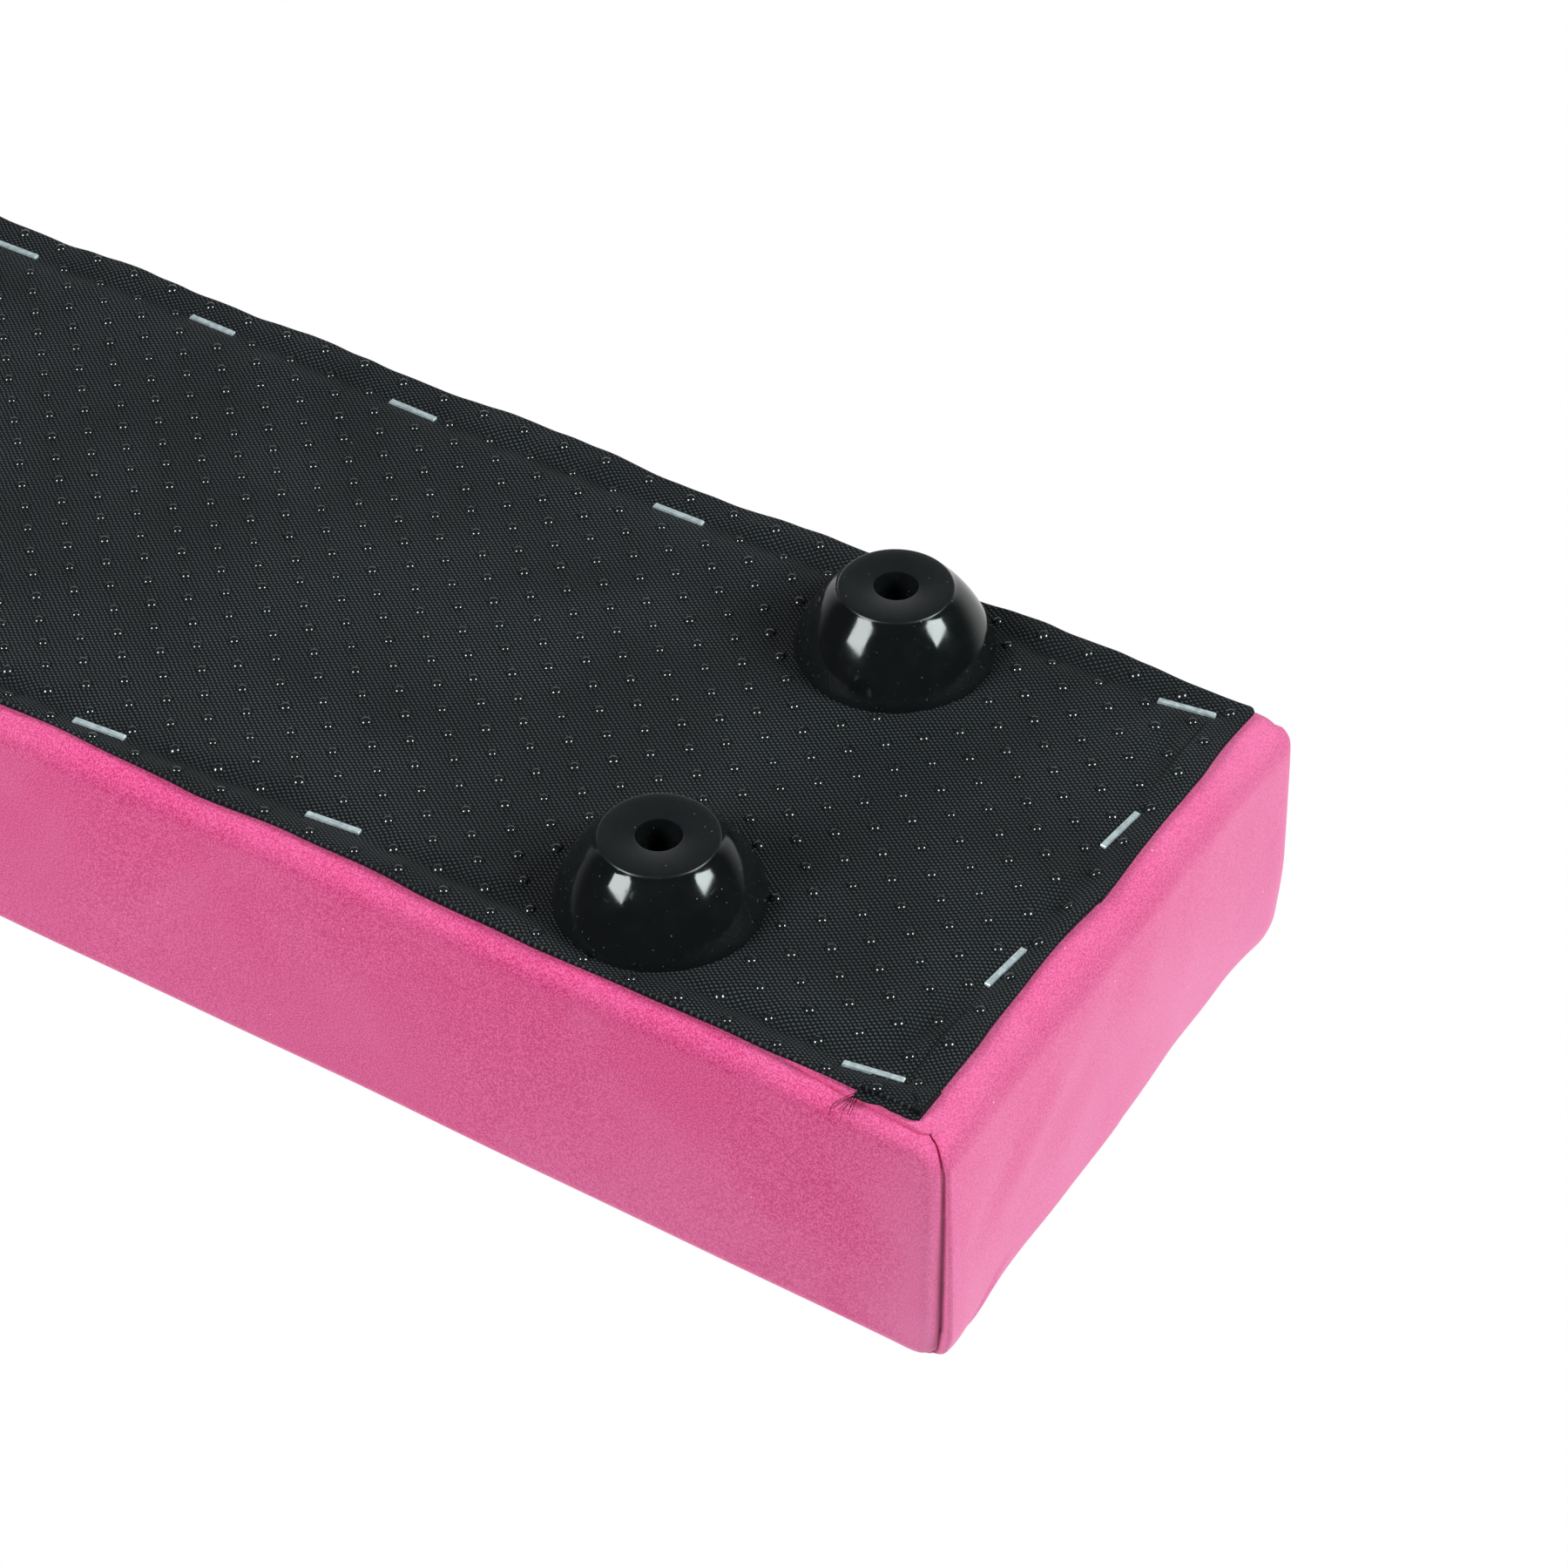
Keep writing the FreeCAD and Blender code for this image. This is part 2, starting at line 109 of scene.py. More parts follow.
def box_shell(xs, ys, zs, window=None):
    """Points and faces over the six sides of a box, with shared edges.

    window is an opening in the lower side, as half its length and half its width.
    """
    ids = np.arange(len(xs) * len(ys) * len(zs)).reshape(len(xs), len(ys), len(zs))
    lower = quads(ids[:, :, 0], True)
    if window:
        middle_x = (xs[:-1] + xs[1:]) / 2
        middle_y = (ys[:-1] + ys[1:]) / 2
        inside = (np.abs(middle_x)[:, None] < window[0]) & (np.abs(middle_y)[None, :] < window[1])
        lower = lower[~inside.reshape(-1)]
    faces = np.concatenate([
        lower, quads(ids[:, :, -1]),
        quads(ids[:, 0, :]), quads(ids[:, -1, :], True),
        quads(ids[0, :, :], True), quads(ids[-1, :, :]),
    ])
    used, faces = np.unique(faces, return_inverse=True)
    faces = faces.reshape(-1, 4)
    across, along, level = np.unravel_index(used, ids.shape)
    return np.stack([xs[across], ys[along], zs[level]], axis=1), faces


def inset_from_outline(x, y, half_x, half_y, corner):
    """How far points lie inside a rectangle with rounded corners, and the way out of it."""
    q = np.stack([np.abs(x) - (half_x - corner), np.abs(y) - (half_y - corner)], axis=1)
    past = np.maximum(q, 0.0)
    reach = np.linalg.norm(past, axis=1)
    inset = corner - reach - np.minimum(q.max(axis=1), 0.0)
    way = np.where((q[:, :1] > q[:, 1:]), [[1.0, 0.0]], [[0.0, 1.0]])
    beyond = reach > TINY
    way[beyond] = past[beyond] / reach[beyond, None]
    way *= np.where(np.stack([x, y], axis=1) < 0, -1.0, 1.0)
    return inset, way


def quarter_circle(q):
    """How far points of a corner square move in, so that the square becomes a quarter circle."""
    both = (q > TINY).all(axis=1)
    factor = np.ones(len(q))
    factor[both] = q[both].max(axis=1) / np.linalg.norm(q[both], axis=1)
    return np.where(both[:, None], q * (1.0 - factor[:, None]), 0.0)


def round_plan(x, y, half_x, half_y, corner):
    """Turn the corner squares of a rectangle into quarter circles."""
    q = np.stack([np.abs(x) - (half_x - corner), np.abs(y) - (half_y - corner)], axis=1)
    pull = quarter_circle(q)
    return x - np.sign(x) * pull[:, 0], y - np.sign(y) * pull[:, 1]


def round_profile(x, y, height, radius, half_x, half_y, corner):
    """Round the arris where the sides meet a flat face; height is measured from that face."""
    inset, way = inset_from_outline(x, y, half_x, half_y, corner)
    pull = quarter_circle(np.stack([radius - inset, radius - height], axis=1))
    return x - way[:, 0] * pull[:, 0], y - way[:, 1] * pull[:, 0], height + pull[:, 1]


def round_nose(inset, height, width):
    """Round a sheet's edge: how far its points move in, and the factor on their height.

    height runs from -1 to 1 through the sheet; width is that of the rounded part.
    """
    nose = np.clip((width - inset) / width, 0.0, 1.0)
    length = np.maximum(np.hypot(nose, height), TINY)
    factor = np.where(nose > TINY, np.maximum(nose, np.abs(height)) / length, 1.0)
    return width * nose * (1.0 - factor), factor


def place_object(name, data):
    """A new object in the scene."""
    placed = bpy.data.objects.new(name, data)
    bpy.context.scene.collection.objects.link(placed)
    return placed


def flat_cloth(xs, ys, zs, corner, nose, square=False):
    """A flat layer with rounded edges, and rounded corners unless it is square.

    Gives its flat points, faces, rounded x and y, height from -1 to 1 through the layer, how far the
    points lie inside its outline, and the way out of it.
    """
    flat, faces = box_shell(xs, ys, zs)
    middle, half = (flat.max(axis=0) + flat.min(axis=0)) / 2, np.ptp(flat, axis=0) / 2
    x, y = flat[:, 0] - middle[0], flat[:, 1] - middle[1]
    height = (flat[:, 2] - middle[2]) / half[2]
    if not square:
        x, y = round_plan(x, y, half[0], half[1], corner)
    inset, way = inset_from_outline(x, y, half[0], half[1], corner)
    pull, factor = round_nose(inset, height, nose)
    x, y = x - way[:, 0] * pull + middle[0], y - way[:, 1] * pull + middle[1]
    return flat, faces, x, y, height * factor, inset, way


def add_mesh(name, points, faces):
    """A smoothly shaded mesh object that rides with the beam."""
    mesh = bpy.data.meshes.new(name)
    mesh.from_pydata([tuple(point) for point in points], [], [tuple(face) for face in faces])
    mesh.update()
    mesh.polygons.foreach_set("use_smooth", [True] * len(mesh.polygons))
    piece = place_object(name, mesh)
    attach(piece, "root")
    return piece


# ---------------- suede cover

COVER_THICKNESS = 1.2 * MM
FLAP = 60 * MM  # width turned under the board on every side
TOP_RADIUS = 5.5 * MM
NEAR_RADIUS = 5.5 * MM  # lower arris on the left side
FAR_RADIUS = 11.0 * MM  # lower arris on the right side
END_RADIUS = 8.5 * MM  # lower arris at both ends
CORNER_RADIUS = 3.2 * MM  # upright corners on the left side, at mid height
FAR_CORNER_RADIUS = 8.0 * MM  # upright corners on the right side, at mid height
LOW_CORNER_RADIUS = 8.5 * MM  # corners of the underside, at most
FAR_TOP_CORNER = 13.0 * MM  # corners of the walking face on the right side
LOW_BLEND = 9 * MM  # height over which the corners change at the underside
TOP_BLEND = 12 * MM  # height over which they change at the walking face, on the left
FAR_TOP_BLEND = 24 * MM  # the same on the right
ARRIS_BLEND = 12 * MM  # stretch over which the lower arris changes round a corner
EDGE_BAND = 9 * MM  # strip beside an edge over which its two faces share their swellings
FOLD_LIFT = 2.8 * MM  # how far a folded corner stands off the layer below, at the top
FOLD_LOW_SHARE = 0.24  # share of that at the bottom
FOLD_NOSE = 0.8 * MM  # width of the rounded fold itself
FOLD_REACH = 24 * MM  # distance over which the folded layer sinks back
FOLD_DIP = 0.9 * MM  # groove in the lower layer, along the fold
FOLD_GROOVE = 0.9 * MM  # half width of that groove
FOLD_POCKET = 1.0 * MM  # how far the lower layer falls away beside it, half way up
FOLD_POCKET_REACH = 3.6 * MM  # distance over which it does
FOLD_INSET = 3.3 * MM  # how far in on the end face a fold runs up, half way up
FOLD_PAST = 1.2 * MM  # how far along the side it runs, where it is on the side
FOLD_FADE = 6 * MM  # distance over which a fold fades out past its ends
FOLD_STEP = 0.5 * MM  # spacing of points along a fold
FOLD_PULL = 3.2 * MM  # points nearer than this are drawn in towards the fold


def lower_radius(x, y):
    """Radius of the lower arris: slackest on the right side, and slacker at the ends than on the left."""
    rightward = smooth_step((HALF_WIDTH * 0.3 - y) / HALF_WIDTH)
    side = NEAR_RADIUS + (FAR_RADIUS - NEAR_RADIUS) * rightward
    nearer_end = (HALF_WIDTH - np.abs(y)) - (HALF_LENGTH - np.abs(x))
    return side + (END_RADIUS - side) * smooth_step(0.5 + nearer_end / ARRIS_BLEND)


def rounded_body(points):
    """Round a sharp box of the beam's size into the padded body."""
    x, y, z = points.T.copy()
    low = lower_radius(x, y)
    near_bottom = 1.0 - smooth_step((z - UNDERSIDE) / LOW_BLEND)
    near_top = 1.0 - smooth_step((WALKING_FACE - z) / np.where(y < 0, FAR_TOP_BLEND, TOP_BLEND))
    upright = np.where(y < 0, FAR_CORNER_RADIUS, CORNER_RADIUS)
    corner = upright + (np.minimum(low, LOW_CORNER_RADIUS) - upright) * near_bottom
    corner = corner + (np.where(y < 0, FAR_TOP_CORNER, TOP_RADIUS) - corner) * near_top
    x, y = round_plan(x, y, HALF_LENGTH, HALF_WIDTH, corner)
    x, y, height = round_profile(x, y, z - UNDERSIDE, low, HALF_LENGTH, HALF_WIDTH, corner)
    z = UNDERSIDE + height
    top = np.minimum(TOP_RADIUS, corner)
    x, y, depth = round_profile(x, y, WALKING_FACE - z, top, HALF_LENGTH, HALF_WIDTH, corner)
    return np.stack([x, y, WALKING_FACE - depth], axis=1)


def outward(points):
    """Unit vectors out of the body, turning smoothly round its edges."""
    core = np.clip(points, BEAM_LOW + EDGE_BAND, BEAM_HIGH - EDGE_BAND)
    way = points - core
    return way / np.maximum(np.linalg.norm(way, axis=1), TINY)[:, None]


def body_relief(points):
    """How far the padded cover swells beyond its rounded box, in metres."""
    x, y, z = points.T
    level = (z - UNDERSIDE) / (WALKING_FACE - UNDERSIDE)
    turn = np.where(x >= 0, 1.0, -1.0)
    across = y * turn             # the two ends are the same shape, turned half round
    end = 1.0 - smooth_step((HALF_LENGTH - np.abs(x)) / EDGE_BAND)
    side = 1.0 - smooth_step((HALF_WIDTH - np.abs(y)) / EDGE_BAND)
    top = smooth_step((level - 0.85) / 0.15) * (1 - end) * (1 - side)

    slack = (1.1 * MM * smooth_step((across + 28 * MM) / (24 * MM)) - 0.4 * MM) * level
    knuckle = 0.35 * MM * hump(across, -67 * MM, 4.8 * MM) * smooth_step((level - 0.55) / 0.4)
    bend = 21 * MM + 32 * MM * smooth_step((level - 0.25) / 0.45)
    ridge = 0.42 * MM * hump(across, bend, 9 * MM) * smooth_step(level * 4) * smooth_step((1.0 - level) * 3)
    hollow = -0.18 * MM * hump(across, bend + 16 * MM, 10 * MM) * smooth_step(level * 4)
    waves = ripple(across, z, (0.09 * MM, 0.052, 0.09, 0.4), (0.05 * MM, 0.023, -0.06, 1.9))
    end_part = end * (slack + knuckle + ridge + hollow + waves)

    side_part = side * ripple(x, z, (0.16 * MM, 0.31, 0.4, 0.3), (0.08 * MM, 0.117, -0.21, 1.1),
                              (0.05 * MM, 0.061, 0.13, 2.6))
    crown = 0.8 * MM * (1 - (y / HALF_WIDTH) ** 2)
    top_part = top * (crown + ripple(x, y, (0.12 * MM, 0.27, 0.9, 0.8), (0.06 * MM, 0.09, 0.14, 2.2)))
    blunt = 1.0 - 0.8 * end * side * smooth_step((level - 0.80) / 0.20)
    return (end_part + side_part + top_part) * blunt


def shaped_body(points):
    """The padded body with its swellings, from a sharp box."""
    points = rounded_body(points)
    return points + outward(points) * body_relief(points)[:, None]


def corner_fold(flip_x, flip_y, on_side):
    """Line of one corner's fold, from under the grip sheet, round the corner and up to the top.

    flip_x and flip_y choose the corner; on_side puts the upright run past the corner, on the side.
    """
    # in from the end and from the side, and up from the underside, in millimetres
    below = [(34, 5.4, 0), (23, 4.1, 0), (12, 3.5, 0), (6, 3.0, 0), (2.5, 2.6, 0), (0, 2.2, 2), (0, 2.4, 6)]
    # in from the end, share of the upright run's distance from the side, and height
    tall = (WALKING_FACE - UNDERSIDE) / MM
    above = [(0, 0.85, 14), (0, 0.92, 24), (0, 1.0, tall - 22), (0, 0.95, tall - 12), (0, 0.82, tall - 5),
             (0, 0.68, tall - 2), (1, 0.6, tall - 1)]
    upright = 0.0 if on_side else FOLD_INSET
    turned = FOLD_PAST if on_side else 0.0
    route = below + [(inward + turned / MM, share * upright / MM, rise)
                     for inward, share, rise in above]
    route = np.array(route) * MM
    route = np.array([HALF_LENGTH, HALF_WIDTH, UNDERSIDE]) + route * [-1.0, -1.0, 1.0]
    steps = np.linalg.norm(np.diff(route, axis=0), axis=1)
    along = np.concatenate([[0.0], np.cumsum(steps)])
    fine = np.arange(0.0, along[-1], FOLD_STEP)
    line = np.stack([np.interp(fine, along, route[:, axis]) for axis in range(3)], axis=1)
    return line * [flip_x, flip_y, 1.0]


def press_fold(points, normals, line, handed):
    """Raise the folded layer on one side of a line and tuck the other side under it."""
    line = shaped_body(line)
    way = outward(line)
    run = np.gradient(line, axis=0)
    run /= np.linalg.norm(run, axis=1)[:, None]
    side_way = np.cross(run, way) * handed
    margin = 1.3 * FOLD_REACH
    inside = (points > line.min(axis=0) - margin) & (points < line.max(axis=0) + margin)
    near = np.nonzero(inside.all(axis=1))[0]
    local = points[near]
    gap = np.linalg.norm(local[:, None, :] - line[None, :, :], axis=2)
    nearest = gap.argmin(axis=1)
    offset = local - line[nearest]
    distance = gap[np.arange(len(near)), nearest]
    sideways = np.einsum("ij,ij->i", offset, side_way[nearest])
    lower_side = sideways > 0
    past_end = (nearest == 0) | (nearest == len(line) - 1)
    distance = np.where(past_end, np.abs(sideways), distance)
    beyond = np.where(past_end, np.abs(np.einsum("ij,ij->i", offset, run[nearest])), 0.0)
    strength = 1.0 - smooth_step(beyond / FOLD_FADE)

    share = np.clip(distance / FOLD_PULL, 0.0, 1.0)
    drawn = np.where(distance < FOLD_PULL, share * (0.10 + 0.90 * share) * FOLD_PULL, distance)
    shift = (drawn - distance) / np.maximum(distance, TINY)
    inward = np.where(past_end[:, None], side_way[nearest] * sideways[:, None], offset)
    moved = inward * (shift * strength)[:, None]
    nose = np.sqrt(np.clip(1.0 - (1.0 - np.clip(drawn / FOLD_NOSE, 0, 1)) ** 2, 0.0, 1.0))
    sink = 1.0 - smooth_step(drawn / FOLD_REACH)
    level = np.clip((local[:, 2] - UNDERSIDE) / (WALKING_FACE - UNDERSIDE), 0.0, 1.0)
    stand = FOLD_LIFT * (FOLD_LOW_SHARE + (1.0 - FOLD_LOW_SHARE) * level)
    stand = stand * (1.0 - 0.85 * smooth_step((level - 0.86) / 0.14))
    raised = stand * nose * sink
    open_share = (0.45 + 0.55 * smooth_step(level * 4)) * (1.0 - 0.8 * smooth_step((level - 0.86) / 0.13))
    groove = -FOLD_DIP * np.exp(-(drawn / FOLD_GROOVE) ** 2) * open_share
    pocket = (0.25 + 0.75 * hump(level, 0.62, 0.30)) * (1.0 - smooth_step((level - 0.80) / 0.18))
    hollow = -FOLD_POCKET * pocket * np.exp(-(drawn / FOLD_POCKET_REACH) ** 2)
    under = smooth_step((-normals[near][:, 2] - 0.5) / 0.4)     # 1 on the face under the beam
    lift = (np.where(lower_side, groove + hollow, raised) - stand * sink * under) * strength
    points[near] = local + moved + normals[near] * lift[:, None]


def make_cover():
    """Suede cover: stretched over the padding, folded at its corners, turned under the board."""
    xs = spaced(-HALF_LENGTH, HALF_LENGTH, 0.5 * MM, 6.5 * MM, 14 * MM)
    ys = spaced(-HALF_WIDTH, HALF_WIDTH, 0.5 * MM, 2.6 * MM, 5 * MM)
    zs = spaced(UNDERSIDE, WALKING_FACE, 0.6 * MM, 1.6 * MM, 5 * MM)
    window = (HALF_LENGTH - FLAP, HALF_WIDTH - FLAP)
    points, faces = box_shell(xs, ys, zs, window)
    points = shaped_body(points)
    normals = outward(points)
    for flip_x, flip_y in ((1, 1), (-1, -1)):
        press_fold(points, normals, corner_fold(flip_x, flip_y, False), 1.0)
    for flip_x, flip_y in ((1, -1), (-1, 1)):
        press_fold(points, normals, corner_fold(flip_x, flip_y, True), -1.0)
    cover = add_mesh("cover_suede", points, faces)
    shell = cover.modifiers.new("thickness", "SOLIDIFY")
    shell.thickness = COVER_THICKNESS
    shell.offset = -1.0
    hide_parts("suede_cover")
    return cover


# ---------------- grip sheet

STAPLE_GAP = 25 * MM  # neighbouring staples of a row are further apart than this
STAPLE_DEPTH = 1 * MM  # a staple's crown lies within this of the sheet's face
HEM_NOSE = 1.2 * MM  # half width of the rounded fold at the sheet's edge
SHEET_PLAN_CORNER = 2.0 * MM
HEM_SWELL = 1.7 * MM  # height of the hem between staples
INNER_SWELL = 1.05 * MM  # height of the sheet just inside the staples
VALLEY = 2.7 * MM  # half width of the valley from staple to staple
SLACK_REACH = 15 * MM  # distance from a staple over which the sheet comes loose
EDGE_PULL = 1.0 * MM  # how far a staple draws the sheet's edge in
PINNED_REACH = 1.7 * MM  # distance over which a staple holds the sheet right down
PINNED_DEPTH = 0.40 * MM
DEEPEST = 0.42 * MM  # the sheet is never pressed in further than this
CREASE_SHADE_WIDTH = 2.0 * MM  # half width of the painted shade along that valley
TUCK_START, TUCK_END = 7.4 * MM, 21.3 * MM  # the twice-folded stretch of hem, from the beam's end
TUCK_DEPTH = 9 * MM  # how far it reaches in from the sheet's edge
TUCK_LIFT = 0.7 * MM  # how far it lifts the sheet above it


def staple_crowns(name, along):
    """The two ends of each staple's crown, read from the CAD node; along is the row's axis."""
    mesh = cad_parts[name].data
    points = np.empty(len(mesh.vertices) * 3)
    mesh.vertices.foreach_get("co", points)
    points = points.reshape(-1, 3)
    points = points[points[:, 2] < SHEET_FACE + STAPLE_DEPTH]
    points = points[np.argsort(points[:, along])]
    breaks = np.nonzero(np.diff(points[:, along]) > STAPLE_GAP)[0] + 1
    crowns = []
    for group in np.split(points, breaks):
        middle = group[:, :2].mean(axis=0)
        spread = group[:, :2] - middle
        axis = np.linalg.svd(spread, full_matrices=False)[2][0]
        reach = np.abs(spread @ axis).max()
        crowns.append((middle - axis * reach, middle + axis * reach))
    return crowns


def gap_to_runs(x, y, runs):
    """Distance of each point from the nearest of some straight runs."""
    place = np.stack([x, y], axis=1)
    best = np.full(len(x), np.inf)
    for start, end in runs:
        run = end - start
        share = np.clip((place - start) @ run / (run @ run), 0.0, 1.0)
        best = np.minimum(best, np.linalg.norm(place - start - share[:, None] * run, axis=1))
    return best


def joined(crowns):
    """Runs between neighbouring crowns of a row."""
    middles = [(start + end) / 2 for start, end in crowns]
    return list(zip(middles[:-1], middles[1:]))


SIDE_ROWS = {side: staple_crowns("sheet_staples_" + side, 0) for side in ("left", "right")}
END_ROWS = {end: staple_crowns("sheet_staples_" + end, 1) for end in ("front", "back")}
CROWNS = SIDE_ROWS["left"] + END_ROWS["front"][::-1] + SIDE_ROWS["right"][::-1] + END_ROWS["back"]
STITCH_LINE = joined(CROWNS + CROWNS[:1])


def row_line(crowns, along):
    """Places of a row's staples along it, and how far out the row lies at each."""
    middles = np.array([(start + end) / 2 for start, end in crowns])
    return middles[:, along], middles[:, 1 - along]


def outside_staples(x, y):
    """Whether points lie in the hem, between the staples and the sheet's edge."""
    left, right = (row_line(SIDE_ROWS[side], 0) for side in ("left", "right"))
    front, back = (row_line(END_ROWS[end], 1) for end in ("front", "back"))
    return ((y > np.interp(x, *left)) | (y < np.interp(x, *right))
            | (x > np.interp(y, *front)) | (x < np.interp(y, *back)))


def sheet_bulge(x, y):
    """How far the grip sheet's face stands proud of its flat middle, in metres."""
    to_staple = gap_to_runs(x, y, CROWNS)
    to_line = gap_to_runs(x, y, STITCH_LINE)
    loose = smooth_step((to_staple - 0.5 * MM) / SLACK_REACH)
    swell = 1.0 - np.exp(-(to_line / VALLEY) ** 2)
    hem = HEM_SWELL * (0.40 + 0.60 * loose) * swell
    inner = INNER_SWELL * (0.20 + 0.80 * loose) * swell * np.exp(-(to_line / (13 * MM)) ** 2)
    pucker = ripple(x, y, (0.20 * MM, 0.0137, 0.031, 0.5), (0.12 * MM, -0.0093, 0.012, 1.3))
    pucker = pucker * np.exp(-(to_line / (11 * MM)) ** 2) * loose
    bulge = np.where(outside_staples(x, y), hem, inner) + pucker
    bulge = bulge + ripple(x, y, (0.14 * MM, 0.19, 0.11, 0.2), (0.10 * MM, 0.07, -0.13, 1.4))
    bulge = bulge + TUCK_LIFT * corner_tuck(x, y)
    pinned = np.exp(-(to_staple / PINNED_REACH) ** 2)
    bulge = bulge * (1.0 - pinned) - PINNED_DEPTH * pinned
    for foot in FEET:
        reach = np.hypot(x - foot[0], y - foot[1]) - FOOT_RADIUS
        angle = np.arctan2(y - foot[1], x - foot[0])
        rim = np.exp(-((reach - 3 * MM) / (4 * MM)) ** 2)
        bulge = bulge * smooth_step((reach + 1 * MM) / (10 * MM))
        bulge = bulge + rim * (0.30 + 0.22 * np.sin(5 * angle + 31 * foot[0])) * MM
    return np.maximum(bulge, -DEEPEST)


def corner_tuck(x, y):
    """How strongly points belong to the corner beside which the hem is folded twice."""
    from_end = HALF_LENGTH - x
    stretch = smooth_step((TUCK_END + 0.5 * MM - from_end) / (1.0 * MM))
    return stretch * smooth_step((y - SHEET_HIGH[1] + TUCK_DEPTH) / (4 * MM))


def sheet_outline_shift(x, y, on_side):
    """How far the sheet's edge wanders out from its straight outline, in metres."""
    to_staple = gap_to_runs(x, y, CROWNS)
    pull = -EDGE_PULL * np.exp(-(to_staple / SLACK_REACH) ** 2)
    wander = ripple(x, y, (0.30 * MM, 0.083, 0.071, 0.9), (0.14 * MM, 0.027, 0.033, 0.1))
    tuck = np.where(on_side, -0.7 * MM * corner_tuck(x, y), 0.0)
    return pull + wander + np.where(y > 0, -0.3, 0.2) * MM + tuck


def make_grip_sheet():
    """Woven sheet with its hem folded under, pulled down at every staple."""
    xs = spaced(SHEET_LOW[0], SHEET_HIGH[0], 0.35 * MM, 1.9 * MM, 11 * MM)
    ys = spaced(SHEET_LOW[1], SHEET_HIGH[1], 0.35 * MM, 1.5 * MM, 9 * MM)
    zs = np.linspace(SHEET_LOW[2], SHEET_HIGH[2], 5)
    flat, faces, x, y, height, inset, way = flat_cloth(xs, ys, zs, SHEET_PLAN_CORNER, HEM_NOSE)
    shift = sheet_outline_shift(x, y, np.abs(way[:, 1]) > 0.7)
    shift = shift * (1.0 - smooth_step(inset / (7 * MM)))
    x, y = x + way[:, 0] * shift, y + way[:, 1] * shift
    thickness = SHEET_HIGH[2] - SHEET_LOW[2] + sheet_bulge(x, y)
    z = SHEET_HIGH[2] - thickness * (1.0 - height) / 2
    piece = add_mesh("grip_sheet_woven", np.stack([x, y, z], axis=1), faces)

    depth = flat[:, 2] - SHEET_LOW[2]
    cloth = np.stack([
        flat[:, 0] + np.where(np.abs(way[:, 0]) > 0.5, np.sign(way[:, 0]) * depth, 0.0),
        flat[:, 1] + np.where(np.abs(way[:, 1]) > 0.5, np.sign(way[:, 1]) * depth, 0.0),
        0 * depth,
    ], axis=1)
    store_cloth(piece, cloth)
    # painted shade along the valley from staple to staple, kept for the weave's colour
    to_line, to_staple = gap_to_runs(x, y, STITCH_LINE), gap_to_runs(x, y, CROWNS)
    uneven = 0.35 + ripple(x, y, (0.14, 0.037, 0.022, 0.4), (0.09, 0.0143, -0.019, 1.2))
    crease_shade = uneven * np.exp(-(to_line / CREASE_SHADE_WIDTH) ** 2)
    crease_shade = crease_shade * (0.35 + 0.65 * smooth_step(to_staple / (5 * MM)))
    kept = piece.data.attributes.new("crease_shade", "FLOAT", "POINT")
    kept.data.foreach_set("value", crease_shade.astype(np.float32))
    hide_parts("grip_sheet")
    return piece


def store_cloth(piece, cloth):
    """Keep each point's place in the flat cloth, for the weave."""
    kept = piece.data.attributes.new("cloth", "FLOAT_VECTOR", "POINT")
    kept.data.foreach_set("vector", cloth.astype(np.float32).ravel())


# ---------------- dots on the grip sheet

DOT_PITCH = 11.17 * MM  # along X, between dots of one row
DOT_ROW = 5.71 * MM  # across, between rows; each row is set half a pitch along
DOT_TURN = 0.0054  # radians that the printed grid is turned on the sheet
DOT_START = (4.63 * MM, 5.10 * MM)  # one dot of the grid, out from the front left corner
DOT_RADIUS = 1.2 * MM
DOT_HEIGHT = 0.78 * MM
DOT_SIDES = 12
DOT_RINGS = [(1.0, -0.25), (0.97, 0.12), (0.84, 0.50), (0.58, 0.82), (0.27, 0.97)]  # radius and height
DOT_SCATTER = 0.10 * MM  # how far dots lie off the grid
DOT_MARGIN = 1.1 * MM  # no dot's middle lies nearer to the sheet's edge than this
DOT_CLEARANCE = 0.9 * MM  # dots keep this far from a staple


def dot_places():
    """Centres of the moulded dots that show between the feet, the staples and the edges."""
    rows = np.arange(0, int(2 * HALF_WIDTH / DOT_ROW) + 8)
    columns = np.arange(-int(2 * HALF_LENGTH / DOT_PITCH) - 20, 6)
    column, row = (grid.ravel() for grid in np.meshgrid(columns, rows))
    along = (column + 0.5 * row) * DOT_PITCH
    across = row * DOT_ROW
    x = HALF_LENGTH + DOT_START[0] + along * math.cos(DOT_TURN) + across * math.sin(DOT_TURN)
    y = HALF_WIDTH + DOT_START[1] + along * math.sin(DOT_TURN) - across * math.cos(DOT_TURN)
    draw = np.random.default_rng(7)
    x = x + draw.normal(0, DOT_SCATTER, len(x))
    y = y + draw.normal(0, DOT_SCATTER, len(y))
    kept = ((x > SHEET_LOW[0] + DOT_MARGIN) & (x < SHEET_HIGH[0] - DOT_MARGIN)
            & (y > SHEET_LOW[1] + DOT_MARGIN) & (y < SHEET_HIGH[1] - DOT_MARGIN))
    kept &= gap_to_runs(x, y, CROWNS) > DOT_RADIUS + DOT_CLEARANCE
    for foot in FEET:
        kept &= np.hypot(x - foot[0], y - foot[1]) > FOOT_RADIUS + DOT_RADIUS
    return x[kept], y[kept]


